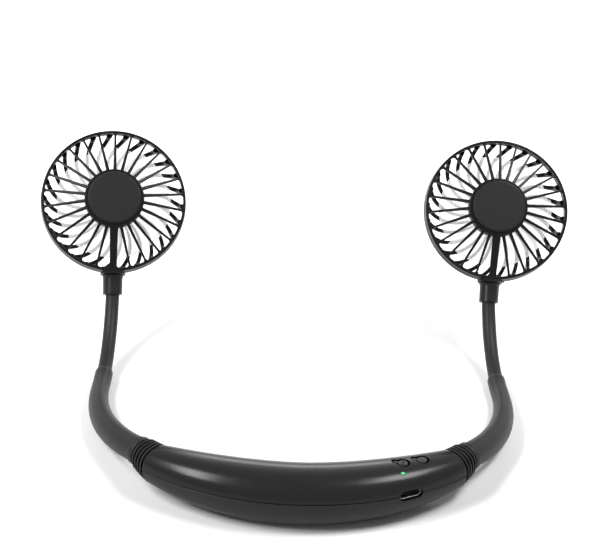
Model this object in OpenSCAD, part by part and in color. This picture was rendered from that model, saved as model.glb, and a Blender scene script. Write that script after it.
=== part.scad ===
// Neck fan: a curved battery housing, two flexible arms and two tilting, swivelling fan heads.
// Millimetres, +Z up, +Y towards the heads. The origin is the centre of the neck arc, on the plane the fan lies on.

/* [Neck arc] */
// outside radius of the housing where its two shells meet
arc_r = 97; // [80:1:120]
// length of the shells along that arc, from the middle to one end
shell_l = 66.03; // [56:0.01:76]

/* [Housing] */
// half the housing's depth in the middle
mid_half_depth = 11.6; // [9:0.1:14]
// half the housing's height in the middle
mid_half_height = 10.4; // [9:0.1:13]
// half the housing's depth where the shells end
end_half_depth = 7.4; // [6:0.1:9]
// half the housing's height where the shells end
end_half_height = 7; // [5.5:0.1:9]
// height of the section's centre in the middle; a little less than half its height, so the belly is cut flat
mid_centre_z = 10.1; // [8.5:0.1:12]
// height of the section's centre where the shells end
end_centre_z = 11.3; // [9:0.1:13]
// how late the taper sets in
taper_power = 2.4; // [1.5:0.1:4]
// how square the section is: 2 is an ellipse
section_power = 2.3; // [2:0.1:4]
// height of the seam between the shells at their ends
seam_z = 12; // [10:0.1:14]
// how much higher the seam is in the middle
seam_bow = 1.2; // [0:0.1:2]
// open line between the shells
seam_gap = 0.25; // [0.1:0.05:0.5]
// wall of both shells
shell_wall = 1.6; // [1.2:0.1:2.2]
// thickness of each end wall
end_wall = 3.72; // [2:0.01:6]

/* [Case screws] */
// outside radius of a screw post
post_r = 2.2; // [1.8:0.1:2.8]
// distance of the post circle outside the housing's centre line
post_out = 1; // [0:0.1:2]
// space between a post and the cell or board beside it
post_gap = 1.3; // [0.6:0.1:3]
// distance of the left-hand end post from the shells' end, along the arc
left_post_in = 8.13; // [7:0.01:12]
// distance of the right-hand end post from the shells' end, along the arc
right_post_in = 7; // [6.5:0.01:8]
// shank radius of a case screw
case_shank_r = 0.95; // [0.7:0.05:1.2]
// head radius of a case screw
case_head_r = 1.75; // [1.4:0.05:2]
// head height of a case screw
case_head_h = 1.2; // [0.8:0.1:1.6]
// length of a case screw's shank
case_shank_l = 11; // [9.5:0.1:13]
// depth of a screw's seat in the lower shell
seat_depth = 2; // [1.5:0.1:3]
// least height of a seat above the table
seat_least_z = 3.2; // [2.5:0.1:4]

/* [Port and board] */
// outside width of the charging port's metal sleeve
port_w = 8.94; // [8.9:0.01:9]
// outside height of the sleeve
port_h = 3.2; // [3.1:0.01:3.3]
// depth of the sleeve
port_depth = 7.3; // [6:0.1:8]
// wall of the sleeve
port_wall = 0.3; // [0.2:0.05:0.4]
// width of the tongue with the contacts
tongue_w = 6.7; // [6:0.1:7]
// thickness of the tongue
tongue_h = 0.7; // [0.5:0.05:1]
// length of the tongue
tongue_l = 4.5; // [3:0.1:5.5]
// gap between the sleeve and the shells
port_gap = 0.25; // [0.1:0.05:0.6]
// how far the sleeve's mouth sits inside the housing's outside
port_inset = 0.5; // [0.2:0.1:1]
// distance of the board from the shells' end, along the arc
board_in = 10.16; // [9.8:0.01:12]
// length of the board along the arc
board_l = 26.41; // [22:0.01:30]
// thickness of the board
board_h = 1; // [0.6:0.1:1.6]
// space between the board's long edges and the lower shell
board_gap = 2; // [0.5:0.1:2.5]
// distance of the port's middle from the board's start, along the arc
port_along = 10.33; // [8:0.01:11]
// distance of each board screw from the board's edges
board_screw_in = 2.2; // [1.6:0.1:3]
// shank radius of a board screw
board_shank_r = 0.7; // [0.5:0.05:1]
// length of a board screw
board_shank_l = 4; // [3:0.1:5]
// head radius of a board screw
board_head_r = 1.25; // [1:0.05:1.6]
// head height of a board screw
board_head_h = 0.8; // [0.5:0.1:1.2]

/* [Controls] */
// radius of a button
button_r = 1.7; // [1.5:0.05:2.6]
// radius of the lobe at a button's side
lobe_r = 0.45; // [0.3:0.05:0.8]
// distance of the lobe from the button's middle
lobe_out = 3.1; // [2.8:0.05:3.6]
// direction of the lobe, from the line along the arc
lobe_angle = 142; // [90:1:180]
// gap between a button and its hole
button_gap = 0.65; // [0.2:0.05:0.8]
// how far a button's flange reaches past its hole
flange_lap = 0.3; // [0.2:0.05:0.5]
// space between the two buttons' flanges
flange_space = 2.7; // [0.15:0.05:4]
// thickness of a button's flange
flange_h = 0.7; // [0.5:0.05:1.2]
// space between a flange and the shell's roof
flange_gap = 0.45; // [0.3:0.05:0.6]
// distance of the first button from the port's middle, along the arc
button_along = 1.78; // [0:0.01:3]
// distance of the buttons inside the housing's centre line
button_in = 0.2; // [0:0.1:2]
// how far a button's top lies below the housing's outside
button_sink = 0.25; // [0:0.05:0.5]
// radius of a button's plunger
plunger_r = 1.2; // [0.8:0.05:1.8]
// how far a button goes down
button_travel = 0.5; // [0.3:0.05:0.6]
// free play between a plunger and its switch
button_play = 0.1; // [0.05:0.05:0.2]
// height of the relief on a button's top
symbol_h = 0.2; // [0.1:0.05:0.3]
// radius of the relief
symbol_r = 1.05; // [0.8:0.05:1.4]
// line of the relief
symbol_line = 0.25; // [0.2:0.05:0.5]
// side of a switch's body
switch_w = 3.4; // [2.5:0.1:5]
// height of a switch's body
switch_h = 2; // [1:0.1:2.2]
// radius of a switch's stud
switch_stud_r = 0.8; // [0.5:0.05:1.5]
// height of a switch's stud
switch_stud_h = 0.8; // [0.4:0.05:1]
// radius of the light
light_pipe_r = 0.85; // [0.5:0.05:1.2]
// length of the light's pipe
light_pipe_l = 4.6; // [3:0.1:6]
// how far the light stands out of the housing
light_proud = 0.1; // [0:0.05:0.3]
// distance of the light from the port's middle, along the arc
light_along = 1.34; // [0:0.01:3]
// distance of the light outside the housing's centre line
light_out = 5.19; // [4:0.01:6]

/* [Battery] */
// radius of a cell
cell_r = 5.5; // [4:0.1:6]
// distance of the cells outside the housing's centre line in the middle
cell_out = 0.2; // [0:0.1:1]
// distance of the cells below the housing's centre line in the middle
cell_drop = 0.2; // [0:0.1:1]
// width of a rib that carries a cell
cradle_w = 1.4; // [1:0.1:3]

/* [Ribbed collars] */
// length of each ribbed collar along the arc
collar_l = 9.14; // [7:0.01:12]
// ribs between the grooves
rib_count = 4; // [2:1:6]
// depth of the grooves
groove_depth = 0.75; // [0.4:0.05:1.2]
// half the collar's depth at the arm's end
collar_half_depth = 6.15; // [5.5:0.05:7]
// half the collar's height at the arm's end
collar_half_height = 6; // [5.5:0.05:7]
// gap between the collar and the arm
collar_gap = 0.3; // [0.2:0.05:0.6]

/* [Arms] */
// distance of an arm's axis inside the housing's outside, where the arm starts
arm_in = 8.5; // [7:0.1:10]
// length of the smooth cuff along the arc
cuff_l = 2.88; // [2:0.01:5]
// radius of the cuff
cuff_r = 5.75; // [5.3:0.05:6.5]
// rounding of the cuff's edges
cuff_round = 0.4; // [0.1:0.05:0.8]
// radius of the sleeve behind the cuff
sleeve_start_r = 5.1; // [4.5:0.05:5.7]
// radius of the sleeve's thin end
sleeve_end_r = 3.9; // [3.5:0.05:4.5]
// distance of the arms' rear run from the middle plane
arm_x = 87.5; // [75:0.5:100]
// where the arms start to rise
rise_y = -2.1; // [-15:0.1:15]
// radius of the arc by which arm and neck rise
rise_r = 51; // [40:0.1:60]
// angle up to which the sleeve follows that arc
sleeve_rise_angle = 11.5; // [9:0.1:20]
// angle at which the neck starts, inside the sleeve
neck_start_angle = 6; // [3:0.1:8]
// radius of the flexible neck
neck_r = 3.1; // [2.4:0.05:3.6]
// radius of the metal core
core_r = 1.3; // [0.8:0.05:1.6]
// gap round the core
core_clearance = 0.45; // [0.3:0.05:0.6]
// how far the core reaches past the housing's end wall
core_tail = 0.5; // [0.3:0.05:1]
// length over which the sleeve's end is rounded
shoulder_l = 1.6; // [0.5:0.1:2.4]
// rim that the sleeve keeps round the neck
shoulder_rim = 0.35; // [0.2:0.05:0.6]

/* [Fan heads] */
// tilt of the heads' faces above level
face_pitch = 33; // [20:0.01:45]
// how far the left head is turned inwards on its swivel
left_toe = 8.9; // [0:0.05:15]
// how far the right head is turned inwards on its swivel
right_toe = 2.65; // [0:0.05:15]
// how far the left stem leans sideways
left_lean = 1.4; // [-8:0.1:8]
// how far the right stem leans sideways
right_lean = -3.8; // [-8:0.1:8]
// largest radius of a head's ring
head_r = 33.5; // [28:0.05:40]
// how much wider the ring is at its back than at its front
ring_flare = 0.6; // [0.2:0.05:1.5]
// wall of the ring
ring_wall = 1.3; // [1:0.1:2.6]
// height of the ring's front edge above the middle of the head
ring_front = 4.5; // [3.5:0.1:6]
// depth of the ring from front to back
ring_depth = 6.5; // [5:0.1:9]
// bevel along the ring's outer edges
ring_edge = 0.35; // [0.1:0.05:0.6]
// height of the line where the two grilles meet
ring_split = 1.5; // [0.5:0.1:2.5]
// how deep the rear cage is inside
ring_back = 7.5; // [6:0.1:9]
// open line between the two grilles
ring_gap = 0.2; // [0.1:0.05:0.4]
// places round the hub: one strut, the rest spokes
spoke_places = 26; // [12:1:32]
// width of a front spoke
spoke_w = 1.1; // [0.8:0.05:1.6]
// depth of a front spoke
spoke_depth = 1.8; // [1.2:0.1:2.2]
// width of the strut
strut_w = 3.3; // [2:0.1:5]
// how far the spokes' front edges lie behind the hub's and the ring's
spoke_sink = 0.2; // [0.1:0.05:0.6]
// how far the rear spokes wind
wind_angle = 26.7; // [10:0.1:60]
// width of a rear spoke
rear_spoke_w = 1.2; // [0.8:0.05:1.6]
// thickness of a rear spoke
rear_spoke_h = 1.9; // [1:0.1:2.5]
// radius at which the rear spokes start to curve up to the ring
rear_flat_r = 26.5; // [22:0.1:30]
// how far the rear spokes reach up inside the ring
cage_lap = 1; // [0.5:0.1:1.5]
// radius of the plate that the rear spokes meet at
rear_hub_r = 9; // [7:0.1:14]

/* [Motor and hub] */
// radius of the motor
motor_r = 9.6; // [8:0.1:11]
// length of the motor
motor_l = 7.5; // [6:0.1:9]
// height of the step on the motor's front
motor_step_h = 0.5; // [0.2:0.1:1]
// width of the step
motor_step_w = 3.2; // [2.5:0.1:3.6]
// radius of the shaft
shaft_r = 0.75; // [0.5:0.05:1]
// clearance round shafts, pins, screws and pipes
shaft_clearance = 0.05; // [0.02:0.01:0.08]
// outside radius of the bearing
bearing_r = 1.85; // [1.5:0.05:2.4]
// length of the bearing
bearing_l = 6.5; // [4:0.1:7]
// distance of the motor screws inside the step's edge
motor_screw_in = 1.8; // [1.4:0.1:2.2]
// shank radius of a motor screw
motor_screw_shank_r = 0.6; // [0.4:0.05:0.8]
// head radius of a motor screw
motor_screw_head_r = 1.15; // [0.8:0.05:1.4]
// head height of a motor screw
motor_screw_head_h = 0.6; // [0.4:0.05:0.9]
// length of a motor screw's shank
motor_screw_l = 3.4; // [2:0.1:5]
// space between the motor and the fan's hub
motor_gap = 1.1; // [0.5:0.1:2]
// how much larger the grille's hub is than the fan's
hub_step = 1.7; // [0.5:0.1:3]
// front of the grille's hub, measured from the ring's parting line
hub_front_z = 9.8; // [8.5:0.1:12]
// wall of the grille's hub
hub_wall = 1.2; // [0.8:0.1:1.6]
// depth of the grille's hub
hub_depth = 5; // [3:0.1:6]
// rim of the hub that shows round the cap
cap_rim = 1.5; // [0.8:0.1:3]
// height of the cap
cap_h = 2; // [1.2:0.1:3]
// rounding of the cap's edge
cap_round = 0.9; // [0.3:0.1:1.2]
// gap between parts that are seated on each other
cap_gap = 0.05; // [0.02:0.01:0.1]
// radius of the plug on the cap's back
cap_plug_r = 2.2; // [1:0.1:2.8]
// length of the plug
cap_plug_l = 0.8; // [0.4:0.1:1.1]

/* [Impeller] */
// number of blades
blade_count = 7; // [3:1:9]
// wall of the fan's hub
impeller_wall = 1.1; // [0.8:0.1:1.6]
// distance between what turns and the two grilles
rotor_gap = 1.4; // [0.8:0.1:2]
// space between the blades' tips and the ring
tip_gap = 5.4; // [1:0.05:8]
// how far the blades start in front of the hub's back
blade_back_in = 0.5; // [0.2:0.1:1.5]
// how far the blades end behind the hub's front
blade_front_in = 1.2; // [0.5:0.1:2.5]
// thickness of a blade
blade_wall = 0.9; // [0.6:0.05:1.5]
// angle that a blade takes up at its root
blade_turn = 61; // [30:1:70]
// what the blade gains on that angle on its way out
blade_sweep = 9.6; // [0:0.2:15]
// angle by which the blade's tip trails its root
blade_lean = 12; // [0:1:25]
// radius of the boss on the shaft
boss_r = 2.4; // [1.5:0.1:4]
// length of the boss
boss_l = 4; // [2:0.1:5]

/* [Stem and socket] */
// distance of the stem's axis behind the ring's parting line
stem_back = 3.74; // [2:0.01:5]
// space between the ring and the socket, which the pin crosses
stem_gap = 0.75; // [0.5:0.05:2]
// radius of the swivel pin
pin_r = 3.05; // [2.5:0.05:3.3]
// length of the pin inside the socket
pin_l = 4.2; // [3:0.1:6]
// how far the pin's catch stands out
catch_r = 0.35; // [0.2:0.05:0.5]
// height of the catch
catch_h = 0.8; // [0.4:0.1:1.2]
// clearance round the catch and below the pin
catch_clearance = 0.2; // [0.1:0.05:0.4]
// gap between the saddle and the socket
swivel_gap = 0.3; // [0.2:0.05:0.5]
// how far the neck goes into the socket
neck_end_l = 3; // [2:0.1:5]
// gap round the neck's end
neck_clearance = 0.35; // [0.25:0.05:0.5]
// web between the neck and the pin
socket_web = 0.95; // [0.5:0.05:2]
// wall of the socket
socket_wall = 0.95; // [0.7:0.01:1.5]
// how far the socket's lip stands out
lip_out = 0.3; // [0.2:0.05:1]
// height of the lip
lip_h = 1.1; // [0.5:0.1:2]
// radius of the saddle behind the ring
saddle_r = 5.75; // [4.5:0.05:6.5]
// how far inside the ring the strut's foot starts to widen
foot_l = 1.2; // [0.5:0.1:3]

/* [Hidden] */

// overrun of every cut
cut = 0.5;
// steps along the arc, round a section, along an arm and round it
arc_steps = 30;
section_steps = 24;
arm_steps = 14;
rise_steps = 6;
round_steps = 20;
core_steps = 8;
end_steps = 3;
// steps along a blade's and a rear spoke's length, and across a blade
blade_steps = 5;
chord_steps = 3;
wind_steps = 5;
cage_steps = 4;
$fn = 96;

// profile of the collar's ribs and grooves: place within a band, and depth as a share of the grooves' depth
rib_shares = [[0.04, 0.45], [0.2, 0], [0.8, 0], [0.96, 0.45]];
groove_shares = [[0.1, 1], [0.9, 1]];
// handles of the arm's plan curve, as a share of its chord
handle_share = 0.35;
// how the sleeve keeps its thickness before it thins out
thinning_share = 1.6;
// how much of the sleeve's end is rounded away, as a share of a full quarter round
shoulder_share = 0.96;
// length and width of a screw's cross recess, as shares of its head's radius
recess_shares = [1.1, 0.3];
// place and radius of the dots on the speed button, as shares of the relief's radius
dot_shares = [0.6, 0.4];
// width of the neck between a button and its lobe
bridge_share = 0.8;
// how far on the rear spokes start from the front ones, as a share of their spacing
rear_turn_share = 0.12;
// places of the ribs under a cell, as a share of its length
cradle_share = 1 / 3;
// thickness of a blade: at its root, what it loses on its way out, and what its edges keep
blade_shares = [1.3, 0.5, 0.45];
// how much a blade's tip is trimmed at its back and at its front, as shares of its height
trim_shares = [0.12, 0.08];

// places along the arc, as angles
function angle_at(len, r) = len / (r * PI / 180);
function angle_of(len) = angle_at(len, arc_r);
shell_angle = angle_of(shell_l);
end_wall_angle = angle_of(end_wall);
collar_angle = angle_of(collar_l);
collar_end = shell_angle + collar_angle;
arm_start = collar_end + angle_of(collar_gap);
cuff_end = arm_start + angle_of(cuff_l);
arc_end_angle = 90 - face_pitch;
neck_end_angle = arc_end_angle + angle_at(neck_end_l, rise_r);
shoulder_angle = angle_at(shoulder_l, rise_r);
hinge_angle = shell_angle + collar_angle / 2;

// the housing's section at angle t along the arc: shrinks towards the ends
function share_of(t) = pow(min(abs(t) / shell_angle, 1), taper_power);
function half_depth(t) = end_half_depth + (mid_half_depth - end_half_depth) * (1 - share_of(t));
function half_height(t) = end_half_height + (mid_half_height - end_half_height) * (1 - share_of(t));
function centre_z(t) = mid_centre_z + (end_centre_z - mid_centre_z) * pow(t / shell_angle, 2);
function centre_r(t) = arc_r - half_depth(t);
function bent(v, p) = sign(v) * pow(abs(v), p);

// point on the section at angle t along the arc and angle f round the section, inset by w
function skin_point(t, f, w) =
    let (
        r = centre_r(t) + (half_depth(t) - w) * bent(cos(f), 2 / section_power),
        z = centre_z(t) + (half_height(t) - w) * bent(sin(f), 2 / section_power)
    )
    [r * sin(t), -r * cos(t), w > 0 ? max(z, w) : z];

// how far the seam lies above the height that it has at the shells' ends
function seam_rise(t) = seam_bow * pow(1 - pow(min(abs(t) / shell_angle, 1), 2), 2);
function seam_at(t) = seam_z + seam_rise(t);

// angle round the section at which it crosses the seam
function seam_f(t, w, z) = asin(bent((z - centre_z(t)) / (half_height(t) - w), section_power / 2));

// height of the housing's roof over a place, inset by w
function roof_z(t, r, w) =
    centre_z(t) + (half_height(t) - w)
    * pow(1 - pow(min(abs(r - centre_r(t)) / (half_depth(t) - w), 1), section_power), 1 / section_power);

// upper or lower part of a section, as a row of points
function half_row(t, w, z, upper) =
    let (a = seam_f(t, w, z + seam_rise(t)), from = upper ? a : 180 - a, to = upper ? 180 - a : 360 + a, n = section_steps / 2)
    [for (i = [0:n]) skin_point(t, from + (to - from) * i / n, w)];

// the board, and what stands on it or lines up with it
board_end = shell_angle - angle_of(board_in);
board_start = board_end - angle_of(board_l);
board_outer_r = arc_r - shell_wall - board_gap;
board_inner_r = centre_r(board_end) - half_depth(board_end) + shell_wall + board_gap;
board_screw_angles = [board_start + angle_of(board_screw_in), board_end - angle_of(board_screw_in)];
board_screw_rs = [board_inner_r + board_screw_in, board_outer_r - board_screw_in];
port_angle = board_start + angle_of(port_along);
port_z = seam_at(port_angle);
board_z = port_z - port_h / 2 - board_h;
board_top = board_z + board_h;
light_angle = port_angle - angle_of(light_along);
light_r = centre_r(light_angle) + light_out;
light_top_z = roof_z(light_angle, light_r, 0) + light_proud;
button_hole_r = button_r + button_gap;
flange_r = button_hole_r + flange_lap;
power_angle = port_angle + angle_of(button_along);
power_r = centre_r(power_angle) - button_in;
speed_angle = power_angle + angle_at(2 * flange_r + flange_space, power_r);
speed_r = centre_r(speed_angle) - button_in;
plunger_z = board_top + switch_h + switch_stud_h + button_travel + button_play;

// the screw posts, with a cell between each two of the first three
post_circle_r = centre_r(0) + post_out;
first_post = angle_of(left_post_in) - shell_angle;
third_post = board_start - angle_at(post_r + post_gap, post_circle_r);
case_screw_angles = [first_post, (first_post + third_post) / 2, third_post, shell_angle - angle_of(right_post_in)];
cell_spacing = (third_post - first_post) / 2;
cell_angles = [first_post + cell_spacing / 2, third_post - cell_spacing / 2];
cell_l = 2 * (post_circle_r * sin(cell_spacing / 2) - post_r - post_gap);
cell_arc_r = centre_r(0) + cell_out;
cell_z = mid_centre_z - cell_drop;
function seat_z(t) = max(centre_z(t) - half_height(t) + seat_depth, seat_least_z);
function post_radius(t) = post_circle_r + (centre_r(t) - centre_r(0)) / 2;

// the centre line of collar and arm along the arc
end_r = centre_r(shell_angle);
arm_r = arc_r - arm_in;
function line_r(t) = end_r + (arm_r - end_r) * max(0, min(1, (t - shell_angle) / collar_angle));
function arc_point(t) = [line_r(t) * sin(t), -line_r(t) * cos(t), end_centre_z];
function arc_dir(t) = [cos(t), sin(t), 0];
core_bore_r = core_r + core_clearance;

// then a curve down to the table, and the arc by which the arm rises
arm_from = arm_r * [sin(cuff_end), -cos(cuff_end)];
arm_to = [arm_x, rise_y];
handle = norm(arm_to - arm_from) * handle_share;
arm_lift = end_centre_z - sleeve_start_r;
function smooth(t) = t * t * (3 - 2 * t);
function sleeve_r(t) = sleeve_end_r + (sleeve_start_r - sleeve_end_r) * (1 - smooth(pow(t, thinning_share)));
function plan(t) =
    pow(1 - t, 3) * arm_from
    + 3 * pow(1 - t, 2) * t * (arm_from + handle * [cos(cuff_end), sin(cuff_end)])
    + 3 * (1 - t) * t * t * (arm_to - [0, handle])
    + pow(t, 3) * arm_to;
function run_point(t) = let (p = plan(t)) [p.x, p.y, sleeve_r(t) + arm_lift * pow(1 - t, 2)];
function rise_point(a) = [arm_x, rise_y + rise_r * sin(a), sleeve_end_r + rise_r * (1 - cos(a))];
function rise_dir(a) = [0, cos(a), sin(a)];
function unit(v) = v / norm(v);
step = 0.001;
function run_dir(t) = unit(run_point(min(t + step, 1)) - run_point(max(t - step, 0)));

// ring of n points of radius r round point p, square to direction d
function ring(p, d, r, n) =
    let (s = unit(cross(d, [0, 0, 1])), u = cross(s, d))
    [for (i = [0:n - 1]) p + r * (cos(360 * i / n) * s + sin(360 * i / n) * u)];

// the fan heads, from the motor outwards
impeller_hub_r = motor_r + motor_gap + impeller_wall;
hub_r = impeller_hub_r + hub_step;
cap_r = hub_r - cap_rim;
ring_low = ring_front - ring_depth;
ring_inner_r = head_r - ring_flare - ring_wall;
spoke_end_r = ring_inner_r + ring_wall / 2;
ring_mid_r = head_r - ring_wall / 2;
function ring_r(z) = head_r - ring_flare * (z - ring_low) / ring_depth;
blade_tip_r = ring_inner_r - tip_gap;
hub_skirt_z = hub_front_z - hub_depth;
rear_z = -ring_back - rear_spoke_h;
impeller_back_z = rotor_gap - ring_back;
impeller_front_z = hub_skirt_z - rotor_gap;
motor_front_z = hub_front_z - hub_wall - cap_gap;
motor_back_z = motor_front_z - motor_l;
motor_step_r = motor_r - motor_step_w;
motor_screw_r = motor_step_r - motor_screw_in;

// the socket, which holds the neck's end below and the grille's pin above
socket_top = head_r + stem_gap;
socket_l = neck_end_l + neck_clearance + socket_web + catch_clearance + pin_l;
socket_end_r = neck_r + neck_clearance + socket_wall;
socket_top_r = pin_r + catch_r + catch_clearance + socket_wall;

// closed skin through rows of points that all have the same number of points
module skin(rows) {
    n = len(rows[0]);
    m = len(rows);
    points = [for (row = rows) for (p = row) p];
    sides = [for (j = [0:m - 2]) for (i = [0:n - 1])
        for (q = [[j * n + i, j * n + (i + 1) % n, (j + 1) * n + (i + 1) % n],
                  [j * n + i, (j + 1) * n + (i + 1) % n, (j + 1) * n + i]]) q];
    ends = [[for (i = [n - 1:-1:0]) i], [for (i = [0:n - 1]) (m - 1) * n + i]];
    polyhedron(points, concat(sides, ends), convexity = 6);
}

// one half of the housing as a solid, inset by w and reaching from -limit to limit
module shell_skin(w, z, upper, limit) {
    skin([for (j = [0:arc_steps]) half_row(limit * (2 * j / arc_steps - 1), w, z, upper)]);
}

// the space inside one half, open past the seam by the overrun
module shell_space(z, upper) {
    limit = shell_angle - end_wall_angle;
    skin([for (j = [0:arc_steps])
        let (
            t = limit * (2 * j / arc_steps - 1),
            row = half_row(t, shell_wall, z, upper),
            last = row[section_steps / 2],
            past = z + seam_rise(t) + (upper ? -cut : cut)
        )
        concat(row, [[last.x, last.y, past], [row[0].x, row[0].y, past]])]);
}

module on_arc(t, r, z) {
    rotate([0, 0, t]) translate([0, -r, z]) children();
}

module sided(side) {
    mirror([side > 0 ? 0 : 1, 0, 0]) children();
}

// straight round hole from one point of the arm's line to another, at the arm's height
module core_hole(from, to, r) {
    p = arc_point(from);
    d = arc_point(to) - p;
    translate(p - unit(d) * cut) rotate([0, 90, atan2(d.y, d.x)]) cylinder(h = norm(d) + 2 * cut, r = r);
}

module end_holes() {
    for (side = [-1, 1]) sided(side) core_hole(shell_angle - end_wall_angle, shell_angle, core_bore_r);
}

module rounded_slot(w, h) {
    for (s = [-1, 1]) translate([s * (w - h) / 2, 0]) circle(d = h);
    square([w - h, h], center = true);
}

module port_opening() {
    on_arc(port_angle, arc_r, port_z) rotate([90, 0, 0])
        linear_extrude(height = 2 * (port_inset + port_depth + port_gap), center = true)
            rounded_slot(port_w + 2 * port_gap, port_h + 2 * port_gap);
}

module cross_recess(r) {
    for (a = [0, 90]) rotate(a) square(r * recess_shares, center = true);
}

module upper_shell() {
    color("#1b1b1d") difference() {
        union() {
            difference() {
                shell_skin(0, seam_z, true, shell_angle);
                shell_space(seam_z, true);
            }
            intersection() {
                for (t = case_screw_angles) 
                    on_arc(t, post_radius(t), seam_at(t) + seam_gap) cylinder(h = mid_half_height, r = post_r);
                shell_skin(shell_wall / 2, seam_z, true, shell_angle);
            }
        }
        for (t = case_screw_angles) on_arc(t, post_radius(t), seam_z)
            cylinder(h = seat_z(t) + case_shank_l + cut - seam_z, r = case_shank_r + shaft_clearance);
        button_hole(power_angle, power_r);
        button_hole(speed_angle, speed_r);
        on_arc(light_angle, light_r, light_top_z - light_pipe_l - cut)
            cylinder(h = light_pipe_l + 2 * cut, r = light_pipe_r + shaft_clearance);
        port_opening();
        end_holes();
    }
}

module button_hole(t, r) {
    base = button_base(t, r);
    on_arc(t, r, base) linear_extrude(height = roof_z(t, r, 0) + cut - base) button_shape(button_hole_r, lobe_r + button_gap);
}

module lower_shell() {
    z = seam_z - seam_gap;
    color("#1d1d20") difference() {
        union() {
            difference() {
                shell_skin(0, z, false, shell_angle);
                shell_space(z, false);
            }
            intersection() {
                union() {
                    for (t = case_screw_angles)
                        on_arc(t, post_radius(t), 0) cylinder(h = seam_at(t) - seam_gap, r = post_r);
                    for (i = [0:1]) on_arc(board_screw_angles[i], board_screw_rs[i], 0) cylinder(h = board_z, r = post_r);
                    for (t = cell_angles) for (s = [-1, 1])
                        on_arc(t, cell_arc_r, 0) translate([s * cell_l * cradle_share, 0, cell_z / 2])
                            cube([cradle_w, 2 * cell_r, cell_z], center = true);
                }
                shell_skin(shell_wall / 2, z, false, shell_angle);
            }
        }
        // the belly is cut flat where the fan stands
        translate([-arc_r, -arc_r - cut, -mid_half_height]) cube([2 * arc_r, arc_r, mid_half_height]);
        for (t = case_screw_angles) on_arc(t, post_radius(t), -cut) {
            cylinder(h = seam_at(t) + 2 * cut, r = case_shank_r + shaft_clearance);
            cylinder(h = seat_z(t) + cut, r = case_head_r + shaft_clearance);
        }
        for (i = [0:1]) on_arc(board_screw_angles[i], board_screw_rs[i], board_top - board_shank_l)
            cylinder(h = board_shank_l + cut, r = board_shank_r + shaft_clearance);
        for (t = cell_angles) on_arc(t, cell_arc_r, cell_z) rotate([0, 90, 0])
            cylinder(h = cell_l + cut, r = cell_r + shaft_clearance, center = true);
        port_opening();
        end_holes();
    }
}

module case_screws() {
    color("#9a9a9c") for (t = case_screw_angles) on_arc(t, post_radius(t), seat_z(t) - case_head_h) difference() {
        union() {
            cylinder(h = case_head_h, r = case_head_r);
            cylinder(h = case_head_h + case_shank_l, r = case_shank_r);
        }
        translate([0, 0, -cut]) linear_extrude(height = cut + case_head_h / 2) cross_recess(case_head_r);
    }
}

module main_board() {
    color("#1d4a2c") difference() {
        translate([0, 0, board_z]) rotate([0, 0, board_start - 90]) rotate_extrude(angle = board_end - board_start)
            translate([board_inner_r, 0]) square([board_outer_r - board_inner_r, board_h]);
        for (i = [0:1]) on_arc(board_screw_angles[i], board_screw_rs[i], board_z - cut)
            cylinder(h = board_h + 2 * cut, r = board_shank_r + shaft_clearance);
    }
}

module board_screws() {
    color("#b0b0b2") for (i = [0:1])
        on_arc(board_screw_angles[i], board_screw_rs[i], board_top - board_shank_l) difference() {
            union() {
                cylinder(h = board_shank_l, r = board_shank_r);
                translate([0, 0, board_shank_l]) cylinder(h = board_head_h, r = board_head_r);
            }
            translate([0, 0, board_shank_l + board_head_h / 2])
                linear_extrude(height = board_head_h) cross_recess(board_head_r);
        }
}

module button_switch(t, r) {
    color("#77777a") on_arc(t, r, board_top) {
        translate([-switch_w / 2, -switch_w / 2, 0]) cube([switch_w, switch_w, switch_h]);
        translate([0, 0, switch_h]) cylinder(h = switch_stud_h, r = switch_stud_r);
    }
}

module power_switch() {
    button_switch(power_angle, power_r);
}

module speed_switch() {
    button_switch(speed_angle, speed_r);
}

// a button's flange lies just under the roof, its top just below the housing's outside
function button_top(t, r) = roof_z(t, r, 0) - button_sink;
function button_base(t, r) = roof_z(t, r - flange_r, shell_wall) - flange_gap - flange_h;

// outline of a button or of its hole: a disc with a small lobe beside it
module button_shape(r, lobe) {
    circle(r = r);
    rotate(lobe_angle) {
        translate([lobe_out, 0]) circle(r = lobe);
        translate([0, -lobe * bridge_share]) square([lobe_out, 2 * lobe * bridge_share]);
    }
}

module button(t, r) {
    base = button_base(t, r);
    on_arc(t, r, 0) {
        translate([0, 0, base]) linear_extrude(height = button_top(t, r) - base) button_shape(button_r, lobe_r);
        translate([0, 0, base]) cylinder(h = flange_h, r = flange_r);
        translate([0, 0, plunger_z]) cylinder(h = base + flange_h - plunger_z, r = plunger_r);
    }
}

module power_button() {
    color("#232326") {
        button(power_angle, power_r);
        on_arc(power_angle, power_r, button_top(power_angle, power_r) - symbol_h) {
            difference() {
                cylinder(h = 2 * symbol_h, r = symbol_r);
                translate([0, 0, -cut]) cylinder(h = 2 * symbol_h + 2 * cut, r = symbol_r - symbol_line);
                translate([-symbol_line, 0, -cut]) cube([2 * symbol_line, 2 * symbol_r, 2 * symbol_h + 2 * cut]);
            }
            translate([-symbol_line / 2, 0, 0]) cube([symbol_line, symbol_r, 2 * symbol_h]);
        }
    }
}

module speed_button() {
    color("#232326") {
        button(speed_angle, speed_r);
        on_arc(speed_angle, speed_r, button_top(speed_angle, speed_r) - symbol_h) for (a = [0, 120, 240]) rotate([0, 0, a])
            translate([0, symbol_r * dot_shares[0], 0]) cylinder(h = 2 * symbol_h, r = symbol_r * dot_shares[1]);
    }
}

module status_light() {
    color("#35d46a") on_arc(light_angle, light_r, light_top_z - light_pipe_l) cylinder(h = light_pipe_l, r = light_pipe_r);
}

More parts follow.
